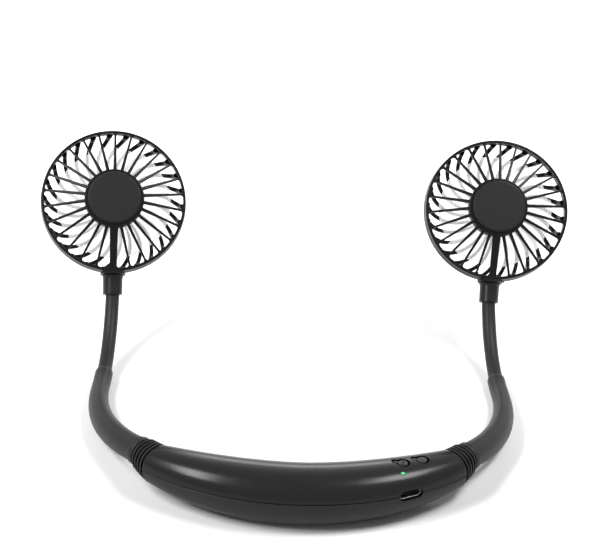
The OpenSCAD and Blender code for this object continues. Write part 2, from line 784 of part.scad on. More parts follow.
module charging_port() {
    back = 3 * port_wall;
    color("#c9c9cc") on_arc(port_angle, arc_r - port_inset, port_z) rotate([90, 0, 0]) translate([0, 0, -port_depth]) {
        difference() {
            linear_extrude(height = port_depth) rounded_slot(port_w, port_h);
            translate([0, 0, back]) linear_extrude(height = port_depth)
                rounded_slot(port_w - 2 * port_wall, port_h - 2 * port_wall);
        }
        translate([-tongue_w / 2, -tongue_h / 2, 0]) cube([tongue_w, tongue_h, back + tongue_l]);
    }
}

module battery_cells() {
    color("#3c5f9e") for (t = cell_angles) on_arc(t, cell_arc_r, cell_z) rotate([0, 90, 0])
        cylinder(h = cell_l, r = cell_r, center = true);
}

// section of a ribbed collar at share k of its length: depth and height shrink towards the arm
function collar_section(k, groove) =
    let (
        t = shell_angle + collar_angle * k,
        a = end_half_depth + (collar_half_depth - end_half_depth) * k - groove,
        b = end_half_height + (collar_half_height - end_half_height) * k - groove
    )
    [for (i = [0:section_steps - 1])
        let (
            f = 360 * i / section_steps,
            r = line_r(t) + a * bent(cos(f), 2 / section_power),
            z = end_centre_z + b * bent(sin(f), 2 / section_power)
        )
        [r * sin(t), -r * cos(t), z]];

module collar(side) {
    bands = 2 * rib_count + 1;
    rows = [for (j = [0:bands - 1]) for (q = j % 2 == 0 ? groove_shares : rib_shares)
        collar_section((j + q[0]) / bands, groove_depth * q[1])];
    color("#141416") sided(side) difference() {
        skin(rows);
        core_hole(shell_angle, collar_end, core_bore_r);
    }
}

module rise_arc(r, from, to) {
    translate([arm_x, rise_y, sleeve_end_r + rise_r]) rotate([0, 90, 0]) rotate([0, 0, from])
        rotate_extrude(angle = to - from) translate([rise_r, 0]) circle(r = r);
}

module sleeve(side) {
    first = sleeve_rise_angle - shoulder_angle;
    drop = sleeve_end_r - neck_r - shoulder_rim;
    edge = angle_of(cuff_round);
    color("#232325") sided(side) difference() {
        skin(concat(
            [for (q = [[arm_start, cuff_r - cuff_round], [arm_start + edge, cuff_r], [cuff_end - 2 * edge, cuff_r],
                       [cuff_end - edge, cuff_r - cuff_round / 2], [cuff_end, sleeve_start_r]])
                ring(arc_point(q[0]), arc_dir(q[0]), q[1], round_steps)],
            [for (i = [1:arm_steps]) let (t = i / arm_steps) ring(run_point(t), run_dir(t), sleeve_r(t), round_steps)],
            [for (i = [1:end_steps]) let (a = first * i / end_steps) ring(rise_point(a), rise_dir(a), sleeve_end_r, round_steps)],
            [for (i = [1:end_steps])
                let (k = i / end_steps, a = first + shoulder_angle * k)
                ring(rise_point(a), rise_dir(a), sleeve_end_r - drop * (1 - sqrt(1 - k * k * shoulder_share)), round_steps)]
        ));
        skin(concat(
            [for (t = [arm_start - angle_of(cut), cuff_end]) ring(arc_point(t), arc_dir(t), core_bore_r, core_steps)],
            [for (i = [1:arm_steps]) ring(run_point(i / arm_steps), run_dir(i / arm_steps), core_bore_r, core_steps)],
            [let (a = neck_start_angle + angle_at(cut, rise_r)) ring(rise_point(a), rise_dir(a), core_bore_r, core_steps)]
        ));
        rise_arc(neck_r + shaft_clearance, neck_start_angle - angle_at(cut, rise_r), sleeve_rise_angle + angle_at(cut, rise_r));
    }
}

module neck(side) {
    over = angle_at(cut, rise_r);
    color("#262628") sided(side) difference() {
        rise_arc(neck_r, neck_start_angle, neck_end_angle);
        rise_arc(core_bore_r, neck_start_angle - over, neck_end_angle + over);
    }
}

module core(side) {
    tail = shell_angle - end_wall_angle - angle_of(core_tail);
    color("#8d8d90") sided(side) skin(concat(
        [for (t = [tail, shell_angle, collar_end, cuff_end]) ring(arc_point(t), arc_dir(t), core_r, core_steps)],
        [for (i = [1:arm_steps]) ring(run_point(i / arm_steps), run_dir(i / arm_steps), core_r, core_steps)],
        [for (i = [1:rise_steps]) let (a = neck_end_angle * i / rise_steps) ring(rise_point(a), rise_dir(a), core_r, core_steps)]
    ));
}

// the stem's frame: origin at the socket's bottom, +Y up the stem
module on_stem(side) {
    end = rise_point(arc_end_angle);
    translate([side * end.x, end.y, end.z]) rotate([90 - face_pitch, 0, 0])
        rotate([0, 0, side > 0 ? right_lean : left_lean]) children();
}

// a head's own frame: origin in the middle of the ring, +Z out of its face, +Y up the stem
module on_head(side) {
    on_stem(side) translate([0, socket_l + socket_top, 0]) rotate([0, side > 0 ? -right_toe : left_toe, 0])
        translate([0, 0, stem_back]) children();
}

module stem_axis() {
    translate([0, 0, -stem_back]) rotate([90, 0, 0]) children();
}

// the ring's side between two heights, its outer edges bevelled
module ring_side(from, to) {
    rotate_extrude() intersection() {
        polygon([
            [head_r - ring_wall, ring_low], [head_r - ring_edge, ring_low],
            [ring_r(ring_low + ring_edge), ring_low + ring_edge],
            [ring_r(ring_front - ring_edge), ring_front - ring_edge],
            [ring_r(ring_front) - ring_edge, ring_front], [ring_inner_r, ring_front]
        ]);
        translate([0, from]) square([2 * head_r, to - from]);
    }
}

// side view of a front spoke, from the hub to the ring
module spoke_side(back) {
    root = hub_r - hub_wall / 2;
    hub_z = hub_front_z - spoke_sink;
    ring_z = ring_front - spoke_sink;
    polygon([
        [root, hub_z], [spoke_end_r, ring_z],
        [spoke_end_r, ring_z - spoke_depth], [root, hub_z - spoke_depth - back]
    ]);
}

// half saddle between the ring and the socket, from one height to another
module saddle(from, to) {
    intersection() {
        stem_axis() translate([0, 0, ring_inner_r]) cylinder(h = socket_top - swivel_gap - ring_inner_r, r = saddle_r);
        translate([-saddle_r, -socket_top, from]) cube([2 * saddle_r, socket_top, to - from]);
    }
}

// the strut's foot, which widens over the ring towards the socket
module strut_foot() {
    low = ring_split + ring_gap / 2;
    tip = socket_top - swivel_gap;
    translate([0, 0, low]) linear_extrude(height = ring_front - spoke_sink - low) polygon([
        [-strut_w / 2, foot_l - ring_inner_r], [strut_w / 2, foot_l - ring_inner_r],
        [saddle_r, -tip], [-saddle_r, -tip]
    ]);
}

module front_grille(side) {
    color("#18181a") on_head(side) difference() {
        union() {
            ring_side(ring_split + ring_gap / 2, ring_front);
            translate([0, 0, hub_front_z - hub_wall]) cylinder(h = hub_wall, r = hub_r);
            difference() {
                translate([0, 0, hub_skirt_z]) cylinder(h = hub_depth, r = hub_r);
                translate([0, 0, hub_skirt_z - cut]) cylinder(h = hub_depth, r = hub_r - hub_wall);
            }
            for (k = [0:spoke_places - 1]) rotate([0, 0, -90 + 360 * k / spoke_places]) rotate([90, 0, 0])
                linear_extrude(height = k == 0 ? strut_w : spoke_w, center = true) spoke_side(k == 0 ? spoke_w : 0);
            strut_foot();
        }
        translate([0, 0, hub_front_z - hub_wall - cut]) cylinder(h = hub_wall + 2 * cut, r = cap_plug_r + cap_gap);
        for (s = [-1, 1]) translate([s * motor_screw_r, 0, 0]) {
            translate([0, 0, motor_front_z]) cylinder(h = hub_wall + cut, r = motor_screw_shank_r + shaft_clearance);
            translate([0, 0, hub_front_z - motor_screw_head_h - cap_gap])
                cylinder(h = hub_wall, r = motor_screw_head_r + shaft_clearance);
        }
    }
}

// a rear spoke in plan: it leaves the hub straight and winds more and more
module rear_spoke() {
    inner = rear_hub_r - hub_wall;
    outer = ring_mid_r;
    line = [for (i = [0:wind_steps]) let (k = i / wind_steps) [inner + (outer - inner) * k, -wind_angle * k * k]];
    function edge(q, s) =
        let (a = q.y - slant(q.x, inner, outer))
        q.x * [cos(q.y), sin(q.y)] + s * rear_spoke_w / 2 * [-sin(a), cos(a)];
    polygon(concat([for (q = line) edge(q, 1)], [for (i = [wind_steps:-1:0]) edge(line[i], -1)]));
}

// angle between a rear spoke and the radius, at radius r
function slant(r, inner, outer) = atan(r * 2 * wind_angle * PI / 180 * (r - inner) / pow(outer - inner, 2));

// the space that the rear spokes fill: flat at the back, then curved up to the ring
module cage_space() {
    inner = rear_hub_r - hub_wall;
    wide = ring_mid_r - rear_flat_r;
    high = ring_low + cage_lap - rear_z;
    function curve(h) = [for (i = [0:cage_steps]) let (f = 90 * i / cage_steps)
        [rear_flat_r + (wide - h) * sin(f), rear_z + h + (high - h) * (1 - cos(f))]];
    inside = curve(rear_spoke_h);
    rotate_extrude() polygon(concat(
        [[inner, rear_z]], curve(0), [for (i = [cage_steps:-1:0]) inside[i]], [[inner, rear_z + rear_spoke_h]]
    ));
}

module rear_grille(side) {
    pin_end = socket_top + pin_l;
    color("#161618") on_head(side) difference() {
        union() {
            ring_side(ring_low, ring_split - ring_gap / 2);
            intersection() {
                translate([0, 0, rear_z]) linear_extrude(height = ring_low + cage_lap - rear_z)
                    for (k = [0:spoke_places - 1]) rotate(360 * (k + rear_turn_share) / spoke_places - 90) rear_spoke();
                cage_space();
            }
            translate([0, 0, rear_z]) cylinder(h = rear_spoke_h, r = rear_hub_r);
            saddle(-stem_back - saddle_r, ring_split - ring_gap / 2);
            stem_axis() translate([0, 0, ring_inner_r]) cylinder(h = pin_end - ring_inner_r, r = pin_r);
            stem_axis() translate([0, 0, pin_end - catch_h]) cylinder(h = catch_h, r = pin_r + catch_r);
        }
        stem_axis() translate([0, 0, ring_inner_r - stem_back]) cylinder(h = pin_end - ring_inner_r + stem_back + cut, r = core_bore_r);
    }
}

module socket(side) {
    pin_z = socket_l - pin_l - catch_clearance;
    color("#1c1c1e") on_stem(side) rotate([-90, 0, 0]) difference() {
        union() {
            cylinder(h = socket_l, r1 = socket_end_r, r2 = socket_top_r);
            translate([0, 0, socket_l - lip_h]) cylinder(h = lip_h, r1 = socket_top_r, r2 = socket_top_r + lip_out);
        }
        translate([0, 0, pin_z]) cylinder(h = pin_l + catch_clearance + cut, r = pin_r + shaft_clearance);
        translate([0, 0, pin_z]) cylinder(h = catch_h + 2 * catch_clearance, r = pin_r + catch_r + catch_clearance);
        translate([0, 0, -cut]) cylinder(h = neck_end_l + neck_clearance + cut, r = neck_r + neck_clearance);
        translate([0, 0, -cut]) cylinder(h = socket_l, r = core_bore_r);
    }
}

module hub_cap(side) {
    flat_r = cap_r - cap_round;
    color("#1f1f21") on_head(side) translate([0, 0, hub_front_z + cap_gap]) {
        rotate_extrude() {
            square([flat_r, cap_h]);
            square([cap_r, cap_h - cap_round]);
            translate([flat_r, cap_h - cap_round]) intersection() {
                circle(r = cap_round);
                square([cap_round, cap_round]);
            }
        }
        translate([0, 0, -cap_plug_l]) cylinder(h = cap_plug_l + cap_h / 2, r = cap_plug_r);
    }
}

module motor(side) {
    color("#8f9296") on_head(side) difference() {
        translate([0, 0, motor_back_z]) {
            cylinder(h = motor_l - motor_step_h, r = motor_r);
            cylinder(h = motor_l, r = motor_step_r);
        }
        translate([0, 0, motor_back_z - cut]) cylinder(h = bearing_l + cut, r = bearing_r);
        for (s = [-1, 1]) translate([s * motor_screw_r, 0, motor_front_z - motor_screw_l])
            cylinder(h = motor_screw_l + cut, r = motor_screw_shank_r + shaft_clearance);
    }
}

module motor_bearing(side) {
    color("#b08a4a") on_head(side) translate([0, 0, motor_back_z]) difference() {
        cylinder(h = bearing_l - cap_gap, r = bearing_r - shaft_clearance / 2);
        translate([0, 0, -cut]) cylinder(h = bearing_l + 2 * cut, r = shaft_r + shaft_clearance);
    }
}

module motor_screws(side) {
    top = hub_front_z - cap_gap;
    color("#b0b0b2") on_head(side) for (s = [-1, 1])
        translate([s * motor_screw_r, 0, top - motor_screw_head_h - motor_screw_l]) difference() {
            union() {
                translate([0, 0, motor_screw_l]) cylinder(h = motor_screw_head_h, r = motor_screw_head_r);
                cylinder(h = motor_screw_l + motor_screw_head_h / 2, r = motor_screw_shank_r);
            }
            translate([0, 0, motor_screw_l + motor_screw_head_h / 2])
                linear_extrude(height = motor_screw_head_h) cross_recess(motor_screw_head_r);
        }
}

module motor_shaft(side) {
    from = impeller_back_z + impeller_wall;
    color("#c4c4c8") on_head(side) translate([0, 0, from])
        cylinder(h = motor_back_z + bearing_l - cap_gap * 2 - from, r = shaft_r);
}

// a blade's section at share k of its length: wound round the hub from back to front, thinner at its edges
function blade_row(k) =
    let (
        root = impeller_hub_r - impeller_wall / 2,
        back = impeller_back_z + blade_back_in,
        h = impeller_front_z - blade_front_in - back,
        r = root + (blade_tip_r - root) * k,
        turn = blade_turn * root / r + blade_sweep * k,
        half = angle_at(blade_wall / 2, r) * (blade_shares[0] - blade_shares[1] * k),
        places = concat([for (i = [0:chord_steps]) [-1, i / chord_steps]], [for (i = [chord_steps:-1:0]) [1, i / chord_steps]])
    )
    [for (q = places)
        let (
            edge = q[1] > 0 && q[1] < 1 ? 1 : blade_shares[2],
            a = (q[1] - 0.5) * turn + q[0] * half * edge - blade_lean * k,
            z = back + h * (q[1] * (1 - trim_shares[1] * k) + (1 - q[1]) * trim_shares[0] * k)
        )
        [r * cos(a), r * sin(a), z]];

module impeller(side) {
    color([0.86, 0.87, 0.88, 0.7]) on_head(side) {
        translate([0, 0, impeller_back_z]) {
            difference() {
                cylinder(h = impeller_front_z - impeller_back_z, r = impeller_hub_r);
                translate([0, 0, impeller_wall])
                    cylinder(h = impeller_front_z - impeller_back_z, r = impeller_hub_r - impeller_wall);
            }
            translate([0, 0, impeller_wall / 2]) difference() {
                cylinder(h = boss_l, r = boss_r);
                translate([0, 0, impeller_wall / 2]) cylinder(h = boss_l, r = shaft_r);
            }
        }
        for (k = [0:blade_count - 1]) rotate([0, 0, 360 * k / blade_count])
            skin([for (i = [0:blade_steps]) blade_row(i / blade_steps)]);
    }
}

upper_shell();
lower_shell();
case_screws();
main_board();
board_screws();
power_switch();
speed_switch();
power_button();
speed_button();
status_light();
charging_port();
battery_cells();
collar(-1);  // left_collar
sleeve(-1);  // left_sleeve
neck(-1);  // left_neck
core(-1);  // left_core
socket(-1);  // left_socket
front_grille(-1);  // left_front_grille
rear_grille(-1);  // left_rear_grille
hub_cap(-1);  // left_hub_cap
motor(-1);  // left_motor
motor_bearing(-1);  // left_motor_bearing
motor_screws(-1);  // left_motor_screws
motor_shaft(-1);  // left_motor_shaft
impeller(-1);  // left_impeller
collar(1);  // right_collar
sleeve(1);  // right_sleeve
neck(1);  // right_neck
core(1);  // right_core
socket(1);  // right_socket
front_grille(1);  // right_front_grille
rear_grille(1);  // right_rear_grille
hub_cap(1);  // right_hub_cap
motor(1);  // right_motor
motor_bearing(1);  // right_motor_bearing
motor_screws(1);  // right_motor_screws
motor_shaft(1);  // right_motor_shaft
impeller(1);  // right_impeller
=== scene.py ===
import math
import bpy
import bmesh
from mathutils import Matrix, Vector


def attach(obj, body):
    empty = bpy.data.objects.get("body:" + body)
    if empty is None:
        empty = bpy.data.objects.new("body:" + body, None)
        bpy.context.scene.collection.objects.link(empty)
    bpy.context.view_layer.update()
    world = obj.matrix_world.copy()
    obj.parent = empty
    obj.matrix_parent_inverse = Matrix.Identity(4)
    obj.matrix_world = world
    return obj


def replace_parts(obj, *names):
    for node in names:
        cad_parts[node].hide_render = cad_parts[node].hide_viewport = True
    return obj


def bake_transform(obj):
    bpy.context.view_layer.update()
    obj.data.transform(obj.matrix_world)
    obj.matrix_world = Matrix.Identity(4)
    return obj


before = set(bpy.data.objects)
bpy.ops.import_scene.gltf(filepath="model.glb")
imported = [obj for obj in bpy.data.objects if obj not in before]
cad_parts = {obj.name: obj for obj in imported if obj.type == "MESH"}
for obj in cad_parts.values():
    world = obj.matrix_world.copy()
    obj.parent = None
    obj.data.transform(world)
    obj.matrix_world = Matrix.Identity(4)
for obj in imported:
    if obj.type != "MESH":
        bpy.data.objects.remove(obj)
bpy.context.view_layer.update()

MM = 0.001
PI = math.pi
SIDES = (("left", -1), ("right", 1))


def rad(a):
    return math.radians(a)


# camera
PICTURE_W, SENSOR_W = 600, 36.0
psi, elev, roll = rad(1.695), rad(25.156), rad(1.952)
dist, focal_px = 596.677, 1092.189
aim = Vector((-2.233, 125.836, 0.0))
fwd = Vector((0, math.cos(elev), -math.sin(elev)))
up = Vector((0, math.sin(elev), math.cos(elev)))
right = Vector((1, 0, 0))
turn = Matrix.Rotation(-psi, 3, 'Z')
# the picture is turned clockwise by the roll, so the camera turns the other way
c, s = math.cos(roll), math.sin(roll)
cam_right = right * c + up * s
cam_up = up * c - right * s
cam = bpy.data.cameras.new("camera")
cam_obj = bpy.data.objects.new("camera", cam)
bpy.context.scene.collection.objects.link(cam_obj)
cam.sensor_fit = 'HORIZONTAL'
cam.sensor_width = SENSOR_W
cam.lens = focal_px / PICTURE_W * SENSOR_W
cam.clip_start = 0.01
cam.clip_end = 20
place = turn @ (aim - fwd * dist) * MM
basis = Matrix((turn @ cam_right, turn @ cam_up, turn @ -fwd)).transposed()
cam_obj.matrix_world = Matrix.Translation(place) @ basis.to_4x4()
bpy.context.scene.camera = cam_obj
bpy.context.scene.view_settings.view_transform = 'Standard'

# sizes in mm and degrees, as in the solids, but the button holes and the blades' tips are wider here
ARC_R = 97.0


def angle_at(length, r):
    """The angle that a length covers on a circle."""
    return length / (r * PI / 180)


def angle_of(length):
    return angle_at(length, ARC_R)


# the housing's section: half its depth and height in the middle and at the ends, and its centre's height
SHELL_A, END_WALL_A = angle_of(66.03), angle_of(3.72)
MID_A, MID_B, END_A, END_B = 11.6, 10.4, 7.4, 7.0
MID_Z, END_Z = 10.1, 11.3
TAPER, SQ = 2.4, 2.3
SEAM_Z, SEAM_BOW, SEAM_GAP, WALL = 12.0, 1.2, 0.25, 1.6

# the arms
COLLAR_A, COLLAR_HA, COLLAR_HB, GROOVE, RIBS = angle_of(9.14), 6.15, 6.0, 0.75, 4
END_R, ARM_R = ARC_R - END_A, ARC_R - 8.5
COLLAR_END = SHELL_A + COLLAR_A
ARM_START = COLLAR_END + angle_of(0.3)
CUFF_END = ARM_START + angle_of(2.88)
CUFF_R, CUFF_ROUND, SLEEVE_R0, SLEEVE_R1, SLEEVE_TAPER = 5.75, 0.4, 5.1, 3.9, 1.6
ARM_X, RISE_Y, RISE_R, SLEEVE_RISE = 87.5, -2.1, 51.0, 11.5
NECK_R, NECK_START, CORE_R, BORE_R, CORE_TAIL = 3.1, 6.0, 1.3, 1.75, 0.5
SHOULDER_L, SHOULDER_RIM = 1.6, 0.35
PITCH = 33.0
TOE, LEAN = {-1: 8.9, 1: 2.65}, {-1: 1.4, 1: -3.8}
SOCKET_TOP, SOCKET_L, STEM_BACK, SWIVEL_GAP = 34.25, 8.7, 3.74, 0.3
NECK_END = 90 - PITCH + angle_at(3.0, RISE_R)

# the heads
HUB_R, TIP_R, ROTOR_WALL, SHAFT_R = 11.8, 26.2, 1.1, 0.75
ROTOR_BACK, ROTOR_FRONT = -6.1, 3.4
RING_R, RING_FLARE, RING_WALL, RING_FRONT, RING_LOW = 33.5, 0.6, 1.3, 4.5, -2.0
RING_SPLIT, RING_GAP = 1.5, 0.2
RING_IN = RING_R - RING_FLARE - RING_WALL
SPOKES, SPOKE_W, SPOKE_D, SPOKE_SINK, STRUT_W, FOOT_R = 26, 1.1, 1.8, 0.2, 3.3, 5.75
GRILLE_HUB_R, HUB_FRONT, HUB_SKIRT, HUB_WALL = 13.5, 9.8, 4.8, 1.2
REAR_Z, REAR_H, REAR_W, REAR_FLAT, REAR_HUB = -9.4, 1.9, 1.2, 26.5, 9.0
REAR_WIND, REAR_TURN, CAGE_LAP = 26.7, 0.12, 1.0
PIN_R, PIN_L, CATCH_R, CATCH_H = 3.05, 4.2, 0.35, 0.8
BLADES, BLADE_WALL, BLADE_TURN, BLADE_TIP_TURN, BLADE_LEAN = 7, 0.9, 61.0, 54.0, 12.0

# the controls
BOARD_END = SHELL_A - angle_of(10.16)
BOARD_START = BOARD_END - angle_of(26.41)
PORT_A = BOARD_START + angle_of(10.33)
PORT_W, PORT_H, PORT_GAP, PORT_REACH = 8.94, 3.2, 0.25, 7.8
LIGHT_A, LIGHT_OUT = PORT_A - angle_of(1.34), 5.19
POWER_A, BUTTON_IN = PORT_A + angle_of(1.78), 0.2
BUTTON_R, BUTTON_GAP, BUTTON_RIM, BUTTON_SPACE = 1.7, 0.65, 0.3, 2.7
HOLE_GAP, HOLE_BRIDGE = 0.95, 0.95
LOBE_R, LOBE_OUT, LOBE_TURN = 0.45, 3.1, 142.0

# the case screws and their posts
POST_R, SHANK_R, HEAD_R, SCREW_GAP = 2.2, 0.95, 1.75, 0.05
POST_OUT, POST_TO_BOARD, SEAT_ABOVE, SEAT_LOWEST = 1.0, 1.3, 2, 3.2


def share_linear(t):
    return min(abs(t) / SHELL_A, 1.0)


def share_of(t):
    return share_linear(t) ** TAPER


def half_depth(t):
    return END_A + (MID_A - END_A) * (1 - share_of(t))


def half_height(t):
    return END_B + (MID_B - END_B) * (1 - share_of(t))


def centre_z(t):
    return MID_Z + (END_Z - MID_Z) * (t / SHELL_A) ** 2


def centre_r(t):
    return ARC_R - half_depth(t)


def bent(v, p):
    """A power that keeps the sign."""
    return math.copysign(abs(v) ** p, v)


def on_arc(t, r, z):
    return Vector((r * math.sin(rad(t)), -r * math.cos(rad(t)), z))


def arc_dir(t):
    return Vector((math.cos(rad(t)), math.sin(rad(t)), 0))


def skin_point(t, f, w, inset=0.0):
    """A point round the section at angle t, w inside the outer face; the underside is flat."""
    r = centre_r(t) + (half_depth(t) - w) * bent(math.cos(f), 2 / SQ)
    z = centre_z(t) + (half_height(t) - w) * bent(math.sin(f), 2 / SQ)
    return on_arc(t, r - math.copysign(inset, math.cos(f)), max(z, 0.0 if w < 1 else w))


def seam_rise(t):
    return SEAM_BOW * (1 - share_linear(t) ** 2) ** 2


def seam_f(t, w, z):
    """Where a section meets a height, as an angle for skin_point."""
    return math.asin(bent((z - centre_z(t)) / (half_height(t) - w), SQ / 2))


def roof_z(t, r, w):
    k = min(abs(r - centre_r(t)) / (half_depth(t) - w), 1)
    return centre_z(t) + (half_height(t) - w) * (1 - k ** SQ) ** (1 / SQ)


PORT_Z = SEAM_Z + seam_rise(PORT_A)
PORT_OUT, PORT_SIDE = on_arc(PORT_A, 1, 0), arc_dir(PORT_A)
LIGHT_R = centre_r(LIGHT_A) + LIGHT_OUT
POWER_R = centre_r(POWER_A) - BUTTON_IN
SPEED_A = POWER_A + angle_at(2 * (BUTTON_R + BUTTON_GAP + BUTTON_RIM) + BUTTON_SPACE, POWER_R)
SPEED_R = centre_r(SPEED_A) - BUTTON_IN
BUTTONS = ((POWER_A, POWER_R), (SPEED_A, SPEED_R))
POST_ARC = centre_r(0) + POST_OUT
FIRST_POST = angle_of(8.13) - SHELL_A
THIRD_POST = BOARD_START - angle_at(POST_R + POST_TO_BOARD, POST_ARC)
POSTS = [FIRST_POST, (FIRST_POST + THIRD_POST) / 2, THIRD_POST, SHELL_A - angle_of(7.0)]


def post_radius(t):
    return POST_ARC + (centre_r(t) - centre_r(0)) / 2


def seat_z(t):
    return max(centre_z(t) - half_height(t) + SEAT_ABOVE, SEAT_LOWEST)


def line_r(t):
    return END_R + (ARM_R - END_R) * max(0, min(1, (t - SHELL_A) / COLLAR_A))


def arc_point(t):
    return on_arc(t, line_r(t), END_Z)


# an arm's centre line: along the arc, then a run with two handles, then a rise on a circle
ARM_FROM = Vector((ARM_R * math.sin(rad(CUFF_END)), -ARM_R * math.cos(rad(CUFF_END))))
ARM_TO = Vector((ARM_X, RISE_Y))
HANDLE = (ARM_TO - ARM_FROM).length * 0.35


def sleeve_r(t):
    q = t ** SLEEVE_TAPER
    return SLEEVE_R1 + (SLEEVE_R0 - SLEEVE_R1) * (1 - q * q * (3 - 2 * q))


def run_point(t):
    d = Vector((math.cos(rad(CUFF_END)), math.sin(rad(CUFF_END))))
    first, second = ARM_FROM + HANDLE * d, ARM_TO - Vector((0, HANDLE))
    rest = 1 - t
    p = rest ** 3 * ARM_FROM + 3 * rest ** 2 * t * first + 3 * rest * t * t * second + t ** 3 * ARM_TO
    return Vector((p.x, p.y, sleeve_r(t) + (END_Z - SLEEVE_R0) * rest ** 2))


def run_dir(t):
    return (run_point(min(t + 0.001, 1)) - run_point(max(t - 0.001, 0))).normalized()


def rise_point(a):
    y, z = RISE_Y + RISE_R * math.sin(rad(a)), SLEEVE_R1 + RISE_R * (1 - math.cos(rad(a)))
    return Vector((ARM_X, y, z))


def rise_dir(a):
    return Vector((0, math.cos(rad(a)), math.sin(rad(a))))


def head_place(side):
    """The place of a head: its z axis is that of the fan, and its stem comes in along -y."""
    end = rise_point(90 - PITCH)
    stem = Matrix.Translation((side * end.x, end.y, end.z))
    stem = stem @ Matrix.Rotation(rad(90 - PITCH), 4, 'X') @ Matrix.Rotation(rad(LEAN[side]), 4, 'Z')
    top = stem @ Matrix.Translation((0, SOCKET_TOP + SOCKET_L, 0))
    return top @ Matrix.Rotation(rad(-side * TOE[side]), 4, 'Y') @ Matrix.Translation((0, 0, STEM_BACK))


# mesh helpers
ARM_POINTS = 96


def soften(ob, angle):
    """Smooth shading, with every edge that bends by more than an angle kept sharp."""
    me = ob.data
    me.polygons.foreach_set("use_smooth", [True] * len(me.polygons))
    bm = bmesh.new()
    bm.from_mesh(me)
    limit = rad(angle)
    for e in bm.edges:
        e.smooth = not (len(e.link_faces) == 2 and e.calc_face_angle(0) > limit)
    bm.to_mesh(me)
    bm.free()


def new_object(name, verts, faces, smooth):
    me = bpy.data.meshes.new(name)
    me.from_pydata([Vector(v) * MM for v in verts], [], faces)
    me.validate()
    bm = bmesh.new()
    bm.from_mesh(me)
    bmesh.ops.recalc_face_normals(bm, faces=bm.faces)
    bm.to_mesh(me)
    bm.free()
    ob = bpy.data.objects.new(name, me)
    bpy.context.scene.collection.objects.link(ob)
    soften(ob, smooth)
    return ob


def skin_faces(m, n, closed=False):
    """Faces between m rows of n points; a closed skin joins its last row to its first, others have caps."""
    out = []
    for j in range(m if closed else m - 1):
        a, b = j * n, ((j + 1) % m) * n
        for i in range(n):
            out.append((a + i, a + (i + 1) % n, b + (i + 1) % n, b + i))
    if not closed:
        out.append(tuple(range(n - 1, -1, -1)))
        out.append(tuple((m - 1) * n + i for i in range(n)))
    return out


def skin(name, rows, smooth=35):
    verts = [v for row in rows for v in row]
    return new_object(name, verts, skin_faces(len(rows), len(rows[0])), smooth)


def loop_skin(name, rows, smooth):
    """A closed skin whose last row meets its first, as a tube with an inside."""
    verts = [v for row in rows for v in row]
    return new_object(name, verts, skin_faces(len(rows), len(rows[0]), closed=True), smooth)


def split(ob):
    """Triangles only, so that every face is flat before a cut."""
    bm = bmesh.new()
    bm.from_mesh(ob.data)
    bmesh.ops.triangulate(bm, faces=[f for f in bm.faces if len(f.verts) > 3])
    bm.to_mesh(ob.data)
    bm.free()


def cut_away(ob, tool):
    split(ob)
    split(tool)
    mod = ob.modifiers.new("cut", 'BOOLEAN')
    mod.object = tool
    mod.operation = 'DIFFERENCE'
    mod.solver = 'EXACT'
    dg = bpy.context.evaluated_depsgraph_get()
    me = bpy.data.meshes.new_from_object(ob.evaluated_get(dg))
    ob.modifiers.clear()
    ob.data = me
    bpy.data.objects.remove(tool)


def joined(ob, others):
    """The others' meshes go into the first object."""
    bm = bmesh.new()
    bm.from_mesh(ob.data)
    for o in others:
        bm.from_mesh(o.data)
    bm.to_mesh(ob.data)
    bm.free()
    for o in others:
        bpy.data.objects.remove(o)


def quarter(n):
    """Steps round a quarter circle: how far along, and how far in, as shares of its radius."""
    return [(1 - math.cos(PI / 2 * i / n), 1 - math.sin(PI / 2 * i / n)) for i in range(n + 1)]


def spread(a, b, n):
    return [a + (b - a) * i / n for i in range(n + 1)]


def turned(r, z, i, n):
    """Point i of n round a circle about the z axis."""
    return Vector((r * math.cos(2 * PI * i / n), r * math.sin(2 * PI * i / n), z))


def cylinder(name, at, axis, r, h, n):
    q = Vector(axis).normalized().to_track_quat('Z', 'Y')
    return skin(name, [[Vector(at) + q @ turned(r, z, i, n) for i in range(n)] for z in (-h / 2, h / 2)], 30)


def lathe(name, line, place, n=96):
    """A closed line of (r, z) pairs turned round the z axis of a place."""
    return loop_skin(name, [[place @ turned(r, z, i, n) for r, z in line] for i in range(n)], 30)


def ring(p, d, r, n=ARM_POINTS):
    """A ring whose points start at the outside of the arm, as those of a collar's row do."""
    d = Vector(d)
    s = d.cross(Vector((0, 0, 1))).normalized()
    u = s.cross(d)
    return [Vector(p) + r * (math.cos(2 * PI * i / n) * s + math.sin(2 * PI * i / n) * u) for i in range(n)]


def mirrored(rows, side):
    return rows if side > 0 else [[Vector((-v.x, v.y, v.z)) for v in row] for row in rows]


def placed(place, rows):
    return [[place @ Vector(v) for v in row] for row in rows]


def bored(rows, bores):
    """Rows of an outside followed by the rows of its bore, walked back."""
    return rows + bores[::-1]


# materials
BLOTCH_SCALE, COAT_ROUGH, SHEEN_ROUGH, GRAIN_DEPTH = 260.0, 0.25, 0.5, 0.0001


def node_of(m, kind):
    return next(n for n in m.node_tree.nodes if n.type == kind)


def mapped(nt, source, span, to=(0.0, 1.0)):
    """Output of a node that maps a span of values to another one, and keeps to its ends."""
    node = nt.nodes.new("ShaderNodeMapRange")
    for key, value in zip(("From Min", "From Max", "To Min", "To Max"), (*span, *to)):
        node.inputs[key].default_value = value
    nt.links.new(source, node.inputs["Value"])
    return node.outputs[0]


def color_mix(nt, share, first, second):
    """Output of a node that goes from a first colour to a second one with a share."""
    mix = nt.nodes.new("ShaderNodeMix")
    mix.data_type = 'RGBA'
    mix.inputs["A"].default_value = first
    mix.inputs["B"].default_value = second
    nt.links.new(share, mix.inputs["Factor"])
    return mix.outputs["Result"]


